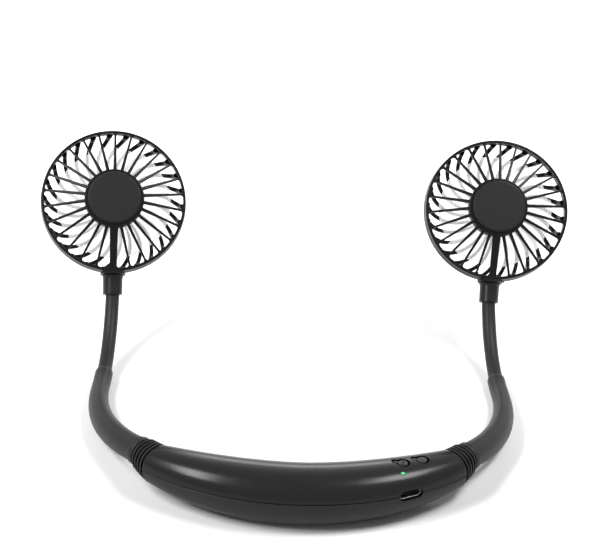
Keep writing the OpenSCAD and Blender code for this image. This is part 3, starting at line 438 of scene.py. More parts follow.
def far_from(nt, at):
    """Output of a node that gives the distance of a point from a place, in metres."""
    here = nt.nodes.new("ShaderNodeTexCoord")
    far = nt.nodes.new("ShaderNodeVectorMath")
    far.operation = 'DISTANCE'
    far.inputs[1].default_value = at
    nt.links.new(here.outputs["Object"], far.inputs[0])
    return far.outputs["Value"]


def material(name, base, rough, coat=0.0, metal=0.0, grain=0.0, grain_scale=900.0,
             vary=0.0, rough_vary=0.0, sheen=0.0, spec=0.5):
    """A plain surface, which may have soft blotches in its colour and gloss, and a fine grain."""
    m = bpy.data.materials.new(name)
    m.use_nodes = True
    nt = m.node_tree
    nt.nodes.clear()
    out = nt.nodes.new("ShaderNodeOutputMaterial")
    p = nt.nodes.new("ShaderNodeBsdfPrincipled")
    nt.links.new(p.outputs[0], out.inputs[0])
    p.inputs["Base Color"].default_value = (*base, 1)
    p.inputs["Roughness"].default_value = rough
    p.inputs["Metallic"].default_value = metal
    p.inputs["Coat Weight"].default_value = coat
    p.inputs["Coat Roughness"].default_value = COAT_ROUGH
    p.inputs["Sheen Weight"].default_value = sheen
    p.inputs["Sheen Roughness"].default_value = SHEEN_ROUGH
    p.inputs["Specular IOR Level"].default_value = spec
    co = nt.nodes.new("ShaderNodeTexCoord")
    if vary or rough_vary:
        big = nt.nodes.new("ShaderNodeTexNoise")
        big.inputs["Scale"].default_value = BLOTCH_SCALE
        big.inputs["Detail"].default_value = 6.0
        nt.links.new(co.outputs["Object"], big.inputs["Vector"])
    if vary:
        ramp = nt.nodes.new("ShaderNodeValToRGB")
        for stop, position, share in zip(ramp.color_ramp.elements, (0.1, 0.9), (1 - vary, 1 + vary)):
            stop.position = position
            stop.color = (*[v * share for v in base], 1)
        nt.links.new(big.outputs["Fac"], ramp.inputs[0])
        nt.links.new(ramp.outputs[0], p.inputs["Base Color"])
    if rough_vary:
        gloss = mapped(nt, big.outputs["Fac"], (0.1, 0.9), (rough - rough_vary, rough + rough_vary))
        nt.links.new(gloss, p.inputs["Roughness"])
    if grain:
        fine = nt.nodes.new("ShaderNodeTexNoise")
        fine.inputs["Scale"].default_value = grain_scale
        fine.inputs["Detail"].default_value = 3.0
        bump = nt.nodes.new("ShaderNodeBump")
        bump.inputs["Strength"].default_value = grain
        bump.inputs["Distance"].default_value = GRAIN_DEPTH
        nt.links.new(co.outputs["Object"], fine.inputs["Vector"])
        nt.links.new(fine.outputs["Fac"], bump.inputs["Height"])
        nt.links.new(bump.outputs[0], p.inputs["Normal"])
    return m


shell_mat = material("satin_shell", (0.0055, 0.0055, 0.0058), 0.24, grain=0.15, grain_scale=1400,
                     vary=0.15, rough_vary=0.03, spec=0.24)
lower_mat = material("satin_shell_lower", (0.0125, 0.012, 0.013), 0.38, grain=0.25, grain_scale=1400,
                     vary=0.12, rough_vary=0.04, spec=0.25)
control_mat = material("button_plastic", (0.03, 0.03, 0.031), 0.36, grain=0.2, grain_scale=1800,
                       rough_vary=0.04, spec=0.35)
grille_mat = material("grille_plastic", (0.003, 0.003, 0.0032), 0.33, grain=0.2, grain_scale=1600,
                      vary=0.1, rough_vary=0.04, spec=0.16)
cap_mat = material("hub_cap_plastic", (0.0045, 0.0045, 0.0047), 0.5, grain=0.5, grain_scale=1500,
                   vary=0.1, rough_vary=0.04, spec=0.25)
silicone_mat = material("soft_silicone", (0.0105, 0.0105, 0.0112), 0.46, grain=0.35, grain_scale=1200,
                        vary=0.2, rough_vary=0.05, sheen=0.04, spec=0.24)
rib_mat = material("collar_rubber", (0.006, 0.006, 0.0063), 0.42, grain=0.3, grain_scale=1300,
                   vary=0.1, rough_vary=0.04, spec=0.22)
socket_mat = material("socket_plastic", (0.0055, 0.0055, 0.0058), 0.3, grain=0.15, grain_scale=1600,
                      vary=0.1, rough_vary=0.03, spec=0.26)
steel_mat = material("plain_steel", (0.5, 0.5, 0.52), 0.3, metal=1.0, grain=0.15, grain_scale=2500,
                     rough_vary=0.06)
port_mat = material("port_steel", (0.45, 0.45, 0.46), 0.3, metal=1.0, grain=0.1, grain_scale=2500,
                    rough_vary=0.05)
brass_mat = material("bearing_bronze", (0.55, 0.38, 0.17), 0.35, metal=1.0, grain=0.1, grain_scale=2500,
                     rough_vary=0.05)
gold_mat = material("contact_gold", (0.8, 0.55, 0.2), 0.3, metal=1.0, rough_vary=0.05)
cell_mat = material("cell_film", (0.03, 0.09, 0.28), 0.3, coat=0.3, vary=0.08, rough_vary=0.04)
board_mat = material("board_resin", (0.01, 0.09, 0.035), 0.4, grain=0.2, grain_scale=900,
                     vary=0.2, rough_vary=0.05)
# near black: the port's tongue really has this colour, and the walls of the shell's holes get it as painted
# shade
black_and_shade_mat = material("black_and_painted_shade", (0.0015, 0.0015, 0.0015), 0.6, rough_vary=0.04, spec=0.1)


def paint_shade_on_walls(m, painted_shade_color):
    """Painted shade: the upward faces keep the material's colour, and the walls around them are painted near
    black, as the shade in a button's gap.
    """
    nt = m.node_tree
    base = node_of(m, 'BSDF_PRINCIPLED').inputs["Base Color"]
    co = nt.nodes.new("ShaderNodeTexCoord")
    xyz = nt.nodes.new("ShaderNodeSeparateXYZ")
    nt.links.new(co.outputs["Normal"], xyz.inputs[0])
    upward = mapped(nt, xyz.outputs["Z"], (0.5, 0.75))
    nt.links.new(color_mix(nt, upward, (*painted_shade_color, 1), base.default_value), base)


# painted shade: the buttons' side walls, which sit in the shade of their holes, are painted near black
paint_shade_on_walls(control_mat, (0.001, 0.001, 0.001))


def frosted(name):
    """Milky plastic that lets light through and can be seen through, with a painted glow: a little white
    emission that stands in for the light coming through it.
    """
    m = material(name, (0.95, 0.95, 0.955), 0.4, rough_vary=0.06, vary=0.02)
    nt = m.node_tree
    out, p = node_of(m, 'OUTPUT_MATERIAL'), node_of(m, 'BSDF_PRINCIPLED')
    # painted light: the white emission stands in for light that comes through the milky blades
    p.inputs["Emission Color"].default_value = (1, 1, 1, 1)
    p.inputs["Emission Strength"].default_value = 0.5
    back = nt.nodes.new("ShaderNodeBsdfTranslucent")
    back.inputs["Color"].default_value = (0.95, 0.95, 0.955, 1)
    clear = nt.nodes.new("ShaderNodeBsdfTransparent")
    surface = p
    for share, other in ((0.4, back), (0.64, clear)):
        mix = nt.nodes.new("ShaderNodeMixShader")
        mix.inputs[0].default_value = share
        nt.links.new(surface.outputs[0], mix.inputs[1])
        nt.links.new(other.outputs[0], mix.inputs[2])
        surface = mix
    nt.links.new(surface.outputs[0], out.inputs[0])
    return m


impeller_mat = frosted("frosted_impeller_painted_glow")


def lit(name, at):
    """A small lamp in clear green plastic: a bright middle in a green ring."""
    m = material(name, (0.01, 0.3, 0.05), 0.25, rough_vary=0.03)
    nt = m.node_tree
    p = node_of(m, 'BSDF_PRINCIPLED')
    near = mapped(nt, far_from(nt, at), (0.0001, 0.00055), (1.0, 0.0))
    glow = color_mix(nt, near, (0.0, 0.12, 0.03, 1), (0.45, 1.0, 0.6, 1))
    nt.links.new(glow, p.inputs["Emission Color"])
    p.inputs["Emission Strength"].default_value = 1.0
    return m


light_top = on_arc(LIGHT_A, LIGHT_R, roof_z(LIGHT_A, LIGHT_R, 0) + 0.1)
light_mat = lit("green_light", light_top * MM)


def dress(ob, mat):
    ob.data.materials.clear()
    ob.data.materials.append(mat)


# looks of the solids
node_mats = {
    "case_screws": steel_mat, "main_board": board_mat, "board_screws": steel_mat,
    "power_switch": steel_mat, "speed_switch": steel_mat, "power_button": control_mat,
    "speed_button": control_mat, "status_light": light_mat, "charging_port": port_mat,
    "battery_cells": cell_mat, "upper_shell": shell_mat, "lower_shell": lower_mat,
}
for name in ("left", "right"):
    node_mats.update({
        name + "_collar": rib_mat, name + "_sleeve": silicone_mat, name + "_neck": silicone_mat,
        name + "_core": steel_mat, name + "_socket": socket_mat, name + "_front_grille": grille_mat,
        name + "_rear_grille": grille_mat, name + "_hub_cap": cap_mat, name + "_motor": steel_mat,
        name + "_motor_bearing": brass_mat, name + "_motor_screws": steel_mat,
        name + "_motor_shaft": steel_mat, name + "_impeller": impeller_mat,
    })
for name, mat in node_mats.items():
    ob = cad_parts[name]
    if not ob.material_slots:
        ob.data.materials.append(mat)
    for slot in ob.material_slots:
        slot.material = mat

# the housing
SEAM_ROUND, END_ROUND, EDGE_STEPS = 0.3, 0.5, 4
OUTER_LENGTH, OUTER_ROUND, INNER_LENGTH, INNER_ROUND = 150, 44, 60, 32
PAST_SEAM, PAST_WALL, NEAR = 0.5, 1.5, 0.05
BUTTON_CUT_LOW, BUTTON_CUT_HIGH = 15, 23
LIGHT_HOLE_R, LIGHT_HOLE_Z, LIGHT_HOLE_H, SCREW_HOLE_H = 0.9, 19, 8, 7
SLOT_BACK, SLOT_FRONT = ARC_R - PORT_REACH - 0.3, ARC_R + 2
PORT_POINTS = 48


def lobed(r, lobe):
    """Outline of a button's hole: a disc with a small lobe beside it, joined by a neck."""
    half, turn = lobe * HOLE_BRIDGE, rad(LOBE_TURN)
    a, b = math.asin(half / r), PI - math.asin(half / lobe)
    line = [(r * math.cos(f), r * math.sin(f)) for f in spread(a, 2 * PI - a, 64)]
    line += [(LOBE_OUT + lobe * math.cos(f), lobe * math.sin(f)) for f in spread(-b, b, 20)]
    c, s = math.cos(turn), math.sin(turn)
    return [(x * c - y * s, x * s + y * c) for x, y in line]


def upright(name, t, r, line, low, high):
    """An outline in the frame of a place on the arc, raised from one height to another."""
    along, inwards = arc_dir(t), -on_arc(t, 1, 0)
    return skin(name, [[on_arc(t, r, z) + along * x + inwards * y for x, y in line] for z in (low, high)])


def port_row(r, inset, half_w=PORT_W / 2, half_h=PORT_H / 2):
    """Outline of the charging port at a distance from the arc's centre, set in from its rim."""
    h, w = half_h - inset, half_w - inset
    row = []
    for i in range(PORT_POINTS):
        f = 2 * PI * (i + 0.5) / PORT_POINTS
        x = math.copysign(w - h, math.cos(f)) + h * math.cos(f)
        row.append(PORT_OUT * r + PORT_SIDE * x + Vector((0, 0, PORT_Z + h * math.sin(f))))
    return row


def half_row(t, w, z, upper, n, round_r):
    """Section of one half of the housing at angle t, its edges along the seam rounded."""
    up = 1 if upper else -1
    edge = []
    for along, inset in quarter(EDGE_STEPS):
        edge.append((seam_f(t, w, z + seam_rise(t) + up * round_r * along), round_r * inset))
    a = edge[-1][0]
    middle = [(f, 0.0) for f in spread(a, PI - a if upper else -PI - a, n)[1:-1]]
    back = [((PI if upper else -PI) - f, inset) for f, inset in reversed(edge)]
    return [skin_point(t, f, w, inset) for f, inset in edge + middle + back]


def shell_outside(name, z, upper):
    steps = quarter(EDGE_STEPS)
    ends = [(SHELL_A - angle_of(END_ROUND * along), END_ROUND * inset) for along, inset in steps]
    inner = ends[-1][0]
    middle = [(t, 0.0) for t in spread(-inner, inner, OUTER_LENGTH)[1:-1]]
    places = [(-t, w) for t, w in ends] + middle + ends[::-1]
    return skin(name, [half_row(t, w, z, upper, OUTER_ROUND, SEAM_ROUND) for t, w in places], 30)


def shell_space(z, upper):
    """The hollow of a half, which goes a little past the seam."""
    limit = SHELL_A - END_WALL_A
    rows = []
    for t in spread(-limit, limit, INNER_LENGTH):
        row = half_row(t, WALL, z, upper, INNER_ROUND, 0.0)[EDGE_STEPS:-EDGE_STEPS]
        past = z + seam_rise(t) + (-PAST_SEAM if upper else PAST_SEAM)
        rows.append(row + [Vector((row[-1].x, row[-1].y, past)), Vector((row[0].x, row[0].y, past))])
    return skin("space", rows)


def shell_holes(upper):
    """What is cut out of a half: the cores' bores, the port's slot, and holes for controls or for screws."""
    tools = []
    for side in (-1, 1):
        a, b = arc_point(SHELL_A - END_WALL_A), arc_point(SHELL_A)
        a.x *= side
        b.x *= side
        tools.append(cylinder("bore", (a + b) / 2, b - a, BORE_R, (b - a).length + PAST_WALL, 40))
    tools.append(skin("slot", [port_row(r, -PORT_GAP) for r in (SLOT_BACK, SLOT_FRONT)]))
    if upper:
        outline = lobed(BUTTON_R + HOLE_GAP, LOBE_R + HOLE_GAP)
        tools += [upright("hole", t, r, outline, BUTTON_CUT_LOW, BUTTON_CUT_HIGH) for t, r in BUTTONS]
        at = on_arc(LIGHT_A, LIGHT_R, LIGHT_HOLE_Z)
        tools.append(cylinder("hole", at, (0, 0, 1), LIGHT_HOLE_R, LIGHT_HOLE_H, 48))
    else:
        for t in POSTS:
            at = on_arc(t, post_radius(t), 0)
            tools.append(cylinder("hole", at, (0, 0, 1), HEAD_R + SCREW_GAP, SCREW_HOLE_H, 64))
    return tools


def paint_shade_in_holes(ob, upper):
    """Painted shade: the walls of the port's slot and of the button holes get the second material of a half,
    a deeper black that stands in for the shade in these recesses.
    """
    for face in ob.data.polygons:
        at = face.center / MM
        inside = abs(at.z - PORT_Z) < PORT_H / 2 + PORT_GAP + NEAR
        inside = inside and abs(at.dot(PORT_SIDE)) < PORT_W / 2 + PORT_GAP + NEAR
        if inside and abs(face.normal.dot(PORT_OUT)) < 0.5 and at.dot(PORT_OUT) > ARC_R - 3:
            face.material_index = 1
        for t, r in (BUTTONS if upper else ()):
            inside = (at - on_arc(t, r, at.z)).length < LOBE_OUT + LOBE_R + HOLE_GAP + 2 * NEAR
            if inside and abs(face.normal.z) < 0.3 and abs(at.z - centre_z(t)) > 3:
                face.material_index = 1


def screw_post(t, upper):
    """A post round a case screw; the lower one has the seat and the wider bore for the head."""
    r = post_radius(t)
    shank, head = SHANK_R + SCREW_GAP, HEAD_R + SCREW_GAP
    if upper:
        low, high = SEAM_Z + seam_rise(t) + SEAM_GAP, roof_z(t, r - POST_R, WALL / 2)
        line = [(shank, low), (POST_R, low), (POST_R, high), (shank, high)]
    else:
        seat, low = seat_z(t), max(centre_z(t) - half_height(t), 0) + WALL / 2
        high = SEAM_Z - SEAM_GAP + seam_rise(t)
        line = [(shank, seat), (head, seat), (head, low), (POST_R, low), (POST_R, high), (shank, high)]
    return lathe("post", line, Matrix.Translation(on_arc(t, r, 0)), 40)


def half_shell(name, upper):
    z = SEAM_Z if upper else SEAM_Z - SEAM_GAP
    ob = shell_outside(name, z, upper)
    cut_away(ob, shell_space(z, upper))
    for tool in shell_holes(upper):
        cut_away(ob, tool)
    ob.data.materials.append(shell_mat if upper else lower_mat)
    # the second material paints shade on the walls of the port's slot and of the button holes
    ob.data.materials.append(black_and_shade_mat)
    paint_shade_in_holes(ob, upper)
    joined(ob, [screw_post(t, upper) for t in POSTS])
    soften(ob, 32)
    return ob


upper = half_shell("upper_shell_skin", True)
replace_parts(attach(upper, "housing"), "upper_shell")
lower = half_shell("lower_shell_skin", False)
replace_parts(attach(lower, "housing"), "lower_shell")

# the charging port: a sleeve with a rolled lip, its tongue and the contacts on it
PORT_BACK, PORT_FACE, PORT_WALL, LIP = ARC_R - PORT_REACH, ARC_R - 1.2, 0.28, 0.15
TONGUE_W, TONGUE_H = 6.7, 0.7
PADS, PAD_STEP, PAD_X, PAD_Z = 6, 0.9, 0.2, 0.05
line = [(PORT_BACK, 0), (PORT_FACE - LIP, 0)]
for i in range(1, 8):
    f = PI * i / 8
    line.append((PORT_FACE - LIP + LIP * math.sin(f), PORT_WALL / 2 - PORT_WALL / 2 * math.cos(f)))
line += [(PORT_FACE - LIP, PORT_WALL), (PORT_BACK + 0.8, PORT_WALL)]
port = skin("port_sleeve", [port_row(r, inset) for r, inset in line], 40)
dress(port, port_mat)
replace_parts(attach(port, "housing"), "charging_port")
line = [(PORT_BACK + 0.6, 0.0), (PORT_FACE - 0.9, 0.0), (PORT_FACE - 0.75, 0.04), (PORT_FACE - 0.7, 0.15)]
tongue = skin("port_tongue", [port_row(r, inset, TONGUE_W / 2, TONGUE_H / 2) for r, inset in line], 40)
dress(tongue, black_and_shade_mat)
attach(tongue, "housing")
pads = []
corners = ((-PAD_X, -PAD_Z), (PAD_X, -PAD_Z), (PAD_X, PAD_Z), (-PAD_X, PAD_Z))
for up in (1, -1):
    z = PORT_Z + up * TONGUE_H / 2
    for i in range(PADS):
        x = (i - (PADS - 1) / 2) * PAD_STEP
        rows = [[PORT_OUT * r + PORT_SIDE * (x + dx) + Vector((0, 0, z + dz)) for dx, dz in corners]
                for r in (PORT_BACK + 1.2, PORT_FACE - 1.2)]
        pads.append(skin("pad", rows))
joined(pads[0], pads[1:])
pads[0].name = "port_contacts"
dress(pads[0], gold_mat)
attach(pads[0], "housing")

# collars and arms
RIB_EDGE, RIB_STEPS, RIB_POWER = 0.06, 14, 3.2
RUN_STEPS, RUN_BORES, NECK_GAP, SHOULDER_SHARE = 70, 30, 0.05, 0.96
NECK_STEPS, NECK_POINTS, CORE_POINTS = 60, 72, 32


def arc_ring(t, r, n=ARM_POINTS):
    return ring(arc_point(t), arc_dir(t), r, n)


def run_ring(t, r, n=ARM_POINTS):
    return ring(run_point(t), run_dir(t), r, n)


def rise_ring(a, r, n=ARM_POINTS):
    return ring(rise_point(a), rise_dir(a), r, n)


def collar_row(t, depth):
    k = (t - SHELL_A) / COLLAR_A
    a = END_A + (COLLAR_HA - END_A) * k - depth
    b = END_B + (COLLAR_HB - END_B) * k - depth
    row = []
    for i in range(ARM_POINTS):
        f = 2 * PI * i / ARM_POINTS
        r, z = line_r(t) + a * bent(math.cos(f), 2 / SQ), END_Z + b * bent(math.sin(f), 2 / SQ)
        row.append(on_arc(t, r, z))
    return row


def collar_rows():
    """Grooves and round ribs by turns along a collar, and its bore."""
    rows = []
    bands = 2 * RIBS + 1
    for j in range(bands):
        if j % 2 == 0:
            shape = [(RIB_EDGE, 1.0), (0.5, 1.0), (1 - RIB_EDGE, 1.0)]
        else:
            along = [0.5 - 0.5 * math.cos(PI * i / RIB_STEPS) for i in range(RIB_STEPS + 1)]
            shape = [(q, 1 - (1 - abs(2 * q - 1) ** RIB_POWER) ** (1 / RIB_POWER)) for q in along]
        for q, depth in shape:
            rows.append(collar_row(SHELL_A + COLLAR_A * (j + q) / bands, GROOVE * depth))
    first, last = SHELL_A + COLLAR_A * RIB_EDGE / bands, SHELL_A + COLLAR_A * (bands - RIB_EDGE) / bands
    return bored(rows, [arc_ring(t, BORE_R) for t in spread(first, last, 6)])


def sleeve_rows():
    """The cuff with its round edges, the tapering run, the start of the rise, the shoulder, and the bore."""
    rows = []
    for along, inset in quarter(5):
        rows.append(arc_ring(ARM_START + angle_of(CUFF_ROUND * along), CUFF_R - CUFF_ROUND * inset))
    for along, inset in reversed(quarter(5)):
        rows.append(arc_ring(CUFF_END - angle_of(CUFF_ROUND * along + 0.02), CUFF_R - CUFF_ROUND * inset))
    rows.append(arc_ring(CUFF_END, SLEEVE_R0))
    rows += [run_ring(i / RUN_STEPS, sleeve_r(i / RUN_STEPS)) for i in range(1, RUN_STEPS + 1)]
    shoulder = angle_at(SHOULDER_L, RISE_R)
    first = SLEEVE_RISE - shoulder
    rows += [rise_ring(first * i / 12, SLEEVE_R1) for i in range(1, 13)]
    drop = SLEEVE_R1 - NECK_R - SHOULDER_RIM
    for i in range(1, 9):
        k = math.sin(PI / 2 * i / 8)
        r = SLEEVE_R1 - drop * (1 - math.sqrt(1 - k * k * SHOULDER_SHARE))
        rows.append(rise_ring(first + shoulder * k, r))
    bores = [arc_ring(t, BORE_R) for t in (ARM_START, CUFF_END)]
    bores += [run_ring(i / RUN_BORES, BORE_R) for i in range(1, RUN_BORES + 1)]
    bores += [rise_ring(NECK_START, r) for r in (BORE_R, NECK_R + NECK_GAP)]
    bores += [rise_ring(a, NECK_R + NECK_GAP) for a in spread(NECK_START, SLEEVE_RISE, 6)[1:]]
    return bored(rows, bores)


def neck_rows():
    places = spread(NECK_START, NECK_END, NECK_STEPS)
    outside, inside = ([rise_ring(a, r, NECK_POINTS) for a in places] for r in (NECK_R, BORE_R))
    return bored(outside, inside)


def core_low_rows():
    """The core from its tail in the housing to the middle of the run."""
    tail = SHELL_A - END_WALL_A - angle_of(CORE_TAIL)
    stops = spread(tail, SHELL_A, 4)[:-1] + spread(SHELL_A, COLLAR_END, 20)
    stops += spread(COLLAR_END, CUFF_END, 4)[1:]
    rows = [arc_ring(t, CORE_R, CORE_POINTS) for t in stops]
    return rows + [run_ring(i / RUN_STEPS, CORE_R, CORE_POINTS) for i in range(1, RUN_STEPS // 2 + 1)]


def core_high_rows():
    rows = [run_ring(i / RUN_STEPS, CORE_R, CORE_POINTS) for i in range(RUN_STEPS // 2, RUN_STEPS + 1)]
    return rows + [rise_ring(a, CORE_R, CORE_POINTS) for a in spread(0, NECK_END, NECK_STEPS)[1:]]


for name, side in SIDES:
    ob = loop_skin(name + "_collar_ribs", mirrored(collar_rows(), side), 40)
    dress(ob, rib_mat)
    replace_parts(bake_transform(ob), name + "_collar")
    ob = loop_skin(name + "_sleeve_skin", mirrored(sleeve_rows(), side), 40)
    dress(ob, silicone_mat)
    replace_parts(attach(ob, name + "_arm"), name + "_sleeve")
    ob = loop_skin(name + "_neck_tube", mirrored(neck_rows(), side), 40)
    dress(ob, silicone_mat)
    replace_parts(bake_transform(ob), name + "_neck")
    ob = skin(name + "_core_low", mirrored(core_low_rows(), side), 40)
    dress(ob, steel_mat)
    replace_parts(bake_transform(ob), name + "_core")
    ob = skin(name + "_core_high", mirrored(core_high_rows(), side), 40)
    dress(ob, steel_mat)
    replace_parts(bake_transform(ob), name + "_core")

# impellers
BLADE_STEPS, BLADE_POINTS, BLADE_BACK, BLADE_FRONT = 20, 18, 0.5, 1.2
ROOT_THICK, THICK_LOSS, BLADE_EDGE, EDGE_SHARE = 1.3, 0.5, 0.3, 8
TIP_FRONT_CUT, TIP_BACK_CUT = 0.08, 0.12
AXIS_R, CUP_BEVEL, CUP_CORNER, CUP_SEAT, RIM_BEVEL = 0.02, 0.5, 0.15, 0.2, 0.2


def blade_rows(turn_by):
    """Sections of a blade from the cup to its tip, each a thin closed band that winds round the axis."""
    root = HUB_R - ROTOR_WALL / 2
    back = ROTOR_BACK + BLADE_BACK
    h = ROTOR_FRONT - BLADE_FRONT - back
    face = [j / BLADE_POINTS for j in range(BLADE_POINTS + 1)]
    rows = []
    for i in range(BLADE_STEPS + 1):
        k = i / BLADE_STEPS
        r = root + (TIP_R - root) * k
        turn = BLADE_TURN * (1 - k) + BLADE_TIP_TURN * k
        half = angle_at(BLADE_WALL / 2, r) * (ROOT_THICK - THICK_LOSS * k)
        line = []
        for s, q in [(-1, q) for q in face] + [(1, q) for q in reversed(face)]:
            e = min(q, 1 - q) * EDGE_SHARE
            edge = BLADE_EDGE + (1 - BLADE_EDGE) * math.sqrt(1 - (1 - min(e, 1)) ** 2)
            a = rad((q - 0.5) * turn + s * half * edge - BLADE_LEAN * k) + turn_by
            z = back + h * (q * (1 - TIP_FRONT_CUT * k) + (1 - q) * TIP_BACK_CUT * k)
            line.append(Vector((r * math.cos(a), r * math.sin(a), z)))
        rows.append(line)
    return rows


def cup_line():
    """Section of the rotor's cup: its floor on the axis, a bevelled outside and a rounded rim."""
    f, b, w, r = ROTOR_FRONT, ROTOR_BACK, ROTOR_WALL, HUB_R
    seat = b + w / 2 + CUP_SEAT
    line = [(SHAFT_R, b + w), (SHAFT_R, seat), (AXIS_R, seat), (AXIS_R, b), (r - CUP_BEVEL, b)]
    line += [(r - CUP_CORNER, b + CUP_CORNER), (r, b + CUP_BEVEL), (r, f - RIM_BEVEL), (r - RIM_BEVEL, f)]
    return line + [(r - w + RIM_BEVEL, f), (r - w, f - RIM_BEVEL), (r - w, b + w)]


for name, side in SIDES:
    place = head_place(side)
    ob = lathe(name + "_rotor_cup", cup_line(), place)
    joined(ob, [skin("blade", placed(place, blade_rows(2 * PI * k / BLADES)), 40) for k in range(BLADES)])
    soften(ob, 40)
    dress(ob, impeller_mat)
    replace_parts(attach(ob, name + "_rotor"), name + "_impeller")

# grilles
RING_POINTS, RING_INNER_EDGE, RING_FACE_EDGE, RING_REAR_EDGE, SPLIT_EDGE = 160, 0.2, 0.5, 0.4, 0.15
SPOKE_EDGE, SPOKE_SLIM, SPOKE_FLARE, SPOKE_CORNER, SPOKE_THIN = 0.25, 0.75, 0.3, 1.0, 0.05
HUB_ROUND, HUB_HOLE_R, SKIRT_INNER, SKIRT_OUTER = 0.45, 2.25, 0.1, 0.15
FOOT_IN, FOOT_FLARE, FOOT_EDGE = 1.2, 1.3, 0.3
REAR_STEPS, REAR_POINTS, REAR_SQUARE, REAR_FLARE = 26, 16, 0.45, 0.8
PLATE_ROUND, PLATE_CORNER, PLATE_BEVEL = 0.4, 0.12, 0.2
SADDLE_ROUND, PIN_IN, PIN_BEVEL = 0.3, 0.2, 0.2


def ring_face(z):
    return RING_R - RING_FLARE * (z - RING_LOW) / (RING_FRONT - RING_LOW)


def ring_line(low, high, low_round, high_round):
    """Section of the ring between two heights, its edges rounded."""
    line = []
    for z, r, up in ((low, low_round, -1), (high, high_round, 1)):
        outer, inner = [], []
        for along, inset in quarter(4):
            at = z - up * r * along
            outer.append((ring_face(at) - r * inset, at))
        for along, inset in quarter(3):
            at = z - up * RING_INNER_EDGE * along
            inner.append((ring_face(at) - RING_WALL + RING_INNER_EDGE * inset, at))
        line += inner[::-1] + outer if up < 0 else outer[::-1] + inner
    return line


def spoke_section(half, top, depth, edge, slim=1.0):
    """Closed section of a spoke, its front edges rounded and its back slimmer."""
    line = [(half * slim, top - depth)]
    line += [(half - edge * inset, top - edge * along) for along, inset in reversed(quarter(4))]
    line += [(-half + edge * inset, top - edge * along) for along, inset in quarter(4)]
    return line + [(-half * slim, top - depth)]


def spoke_rows(half, deeper):
    """Sections along a front spoke from the hub's wall to the ring, wider at both ends."""
    root, end, corner = GRILLE_HUB_R - HUB_WALL / 2, RING_IN + RING_WALL / 2, SPOKE_CORNER
    top0, top1 = HUB_FRONT - SPOKE_SINK, RING_FRONT - SPOKE_SINK
    turn_out = [RING_IN - corner * (1 - math.sin(PI / 2 * i / 8)) for i in range(1, 9)]
    rows = []
    for r in spread(root, RING_IN - corner, 8) + turn_out + [end]:
        k = (r - root) / (end - root)
        over = max(0.0, min(r, RING_IN) - (RING_IN - corner))
        wide = half + SPOKE_FLARE * (1 - k) ** 2 + corner - math.sqrt(max(corner * corner - over * over, 0))
        top, depth = top0 + (top1 - top0) * k, SPOKE_D + deeper * (1 - k)
        rows.append([(x, -r, z) for x, z in spoke_section(wide, top, depth, SPOKE_EDGE, SPOKE_SLIM)])
    return rows


def rear_rows(turn):
    """Sections along a rear spoke: flat and winding from the plate, then curving up to the ring."""
    inner, outer, half = REAR_HUB - HUB_WALL, RING_R - RING_WALL / 2, REAR_W / 2
    wide, high = outer - REAR_FLAT, RING_LOW + CAGE_LAP - REAR_Z
    stops = [((r, REAR_Z), (r, REAR_Z + REAR_H)) for r in spread(inner, REAR_FLAT, REAR_STEPS)]
    for i in range(1, 13):
        f = PI / 2 * i / 12
        across, rise = math.sin(f), 1 - math.cos(f)
        low = (REAR_FLAT + wide * across, REAR_Z + high * rise)
        stops.append((low, (REAR_FLAT + (wide - REAR_H) * across, REAR_Z + REAR_H + (high - REAR_H) * rise)))
    rows = []
    for low, top in stops:
        row = []
        for i in range(REAR_POINTS):
            f = 2 * PI * (i + 0.5) / REAR_POINTS
            u, v = bent(math.cos(f), REAR_SQUARE), bent(math.sin(f), REAR_SQUARE)
            r = (low[0] + top[0]) / 2 + v * (top[0] - low[0]) / 2
            z = (low[1] + top[1]) / 2 + v * (top[1] - low[1]) / 2
            k = (r - inner) / (outer - inner)
            a = rad(-REAR_WIND) * k * k + turn
            lean = a - math.atan(r * 2 * rad(REAR_WIND) * k / (outer - inner))
            u *= half * (1 + REAR_FLARE * k * k)
            row.append((r * math.cos(a) - u * math.sin(lean), r * math.sin(a) + u * math.cos(lean), z))
        rows.append(row)
    return rows


def hub_line():
    """Section of the front hub: a skirt, a rounded shoulder and a plate with a hole."""
    hub, skirt, r, w = HUB_FRONT, HUB_SKIRT, GRILLE_HUB_R, HUB_WALL
    line = [(r - w, skirt + SKIRT_INNER), (r - w + SKIRT_INNER, skirt), (r - SKIRT_OUTER, skirt)]
    line.append((r, skirt + SKIRT_OUTER))
    line += [(r - HUB_ROUND * inset, hub - HUB_ROUND * along) for along, inset in reversed(quarter(4))]
    return line + [(HUB_HOLE_R, hub), (HUB_HOLE_R, hub - w), (r - w, hub - w)]


def foot_rows():
    """The front strut's foot, which widens from the ring to the socket."""
    low, high, tip = RING_SPLIT + RING_GAP / 2, RING_FRONT - SPOKE_SINK, SOCKET_TOP - SWIVEL_GAP
    rows = []
    for y in spread(RING_IN - FOOT_IN, tip, 6):
        share = ((y - RING_IN + FOOT_IN) / (tip - RING_IN + FOOT_IN)) ** FOOT_FLARE
        half = STRUT_W / 2 + (FOOT_R - STRUT_W / 2) * share
        rows.append([(x, -y, z) for x, z in spoke_section(half, high, high - low, FOOT_EDGE)])
    return rows


def plate_line():
    """Section of the rear cage's plate, its edges rounded."""
    r, z, h = REAR_HUB, REAR_Z, REAR_H
    line = [(AXIS_R, z), (r - PLATE_ROUND, z), (r - PLATE_CORNER, z + PLATE_CORNER), (r, z + PLATE_ROUND)]
    return line + [(r, z + h - PLATE_BEVEL), (r - PLATE_BEVEL, z + h), (AXIS_R, z + h)]


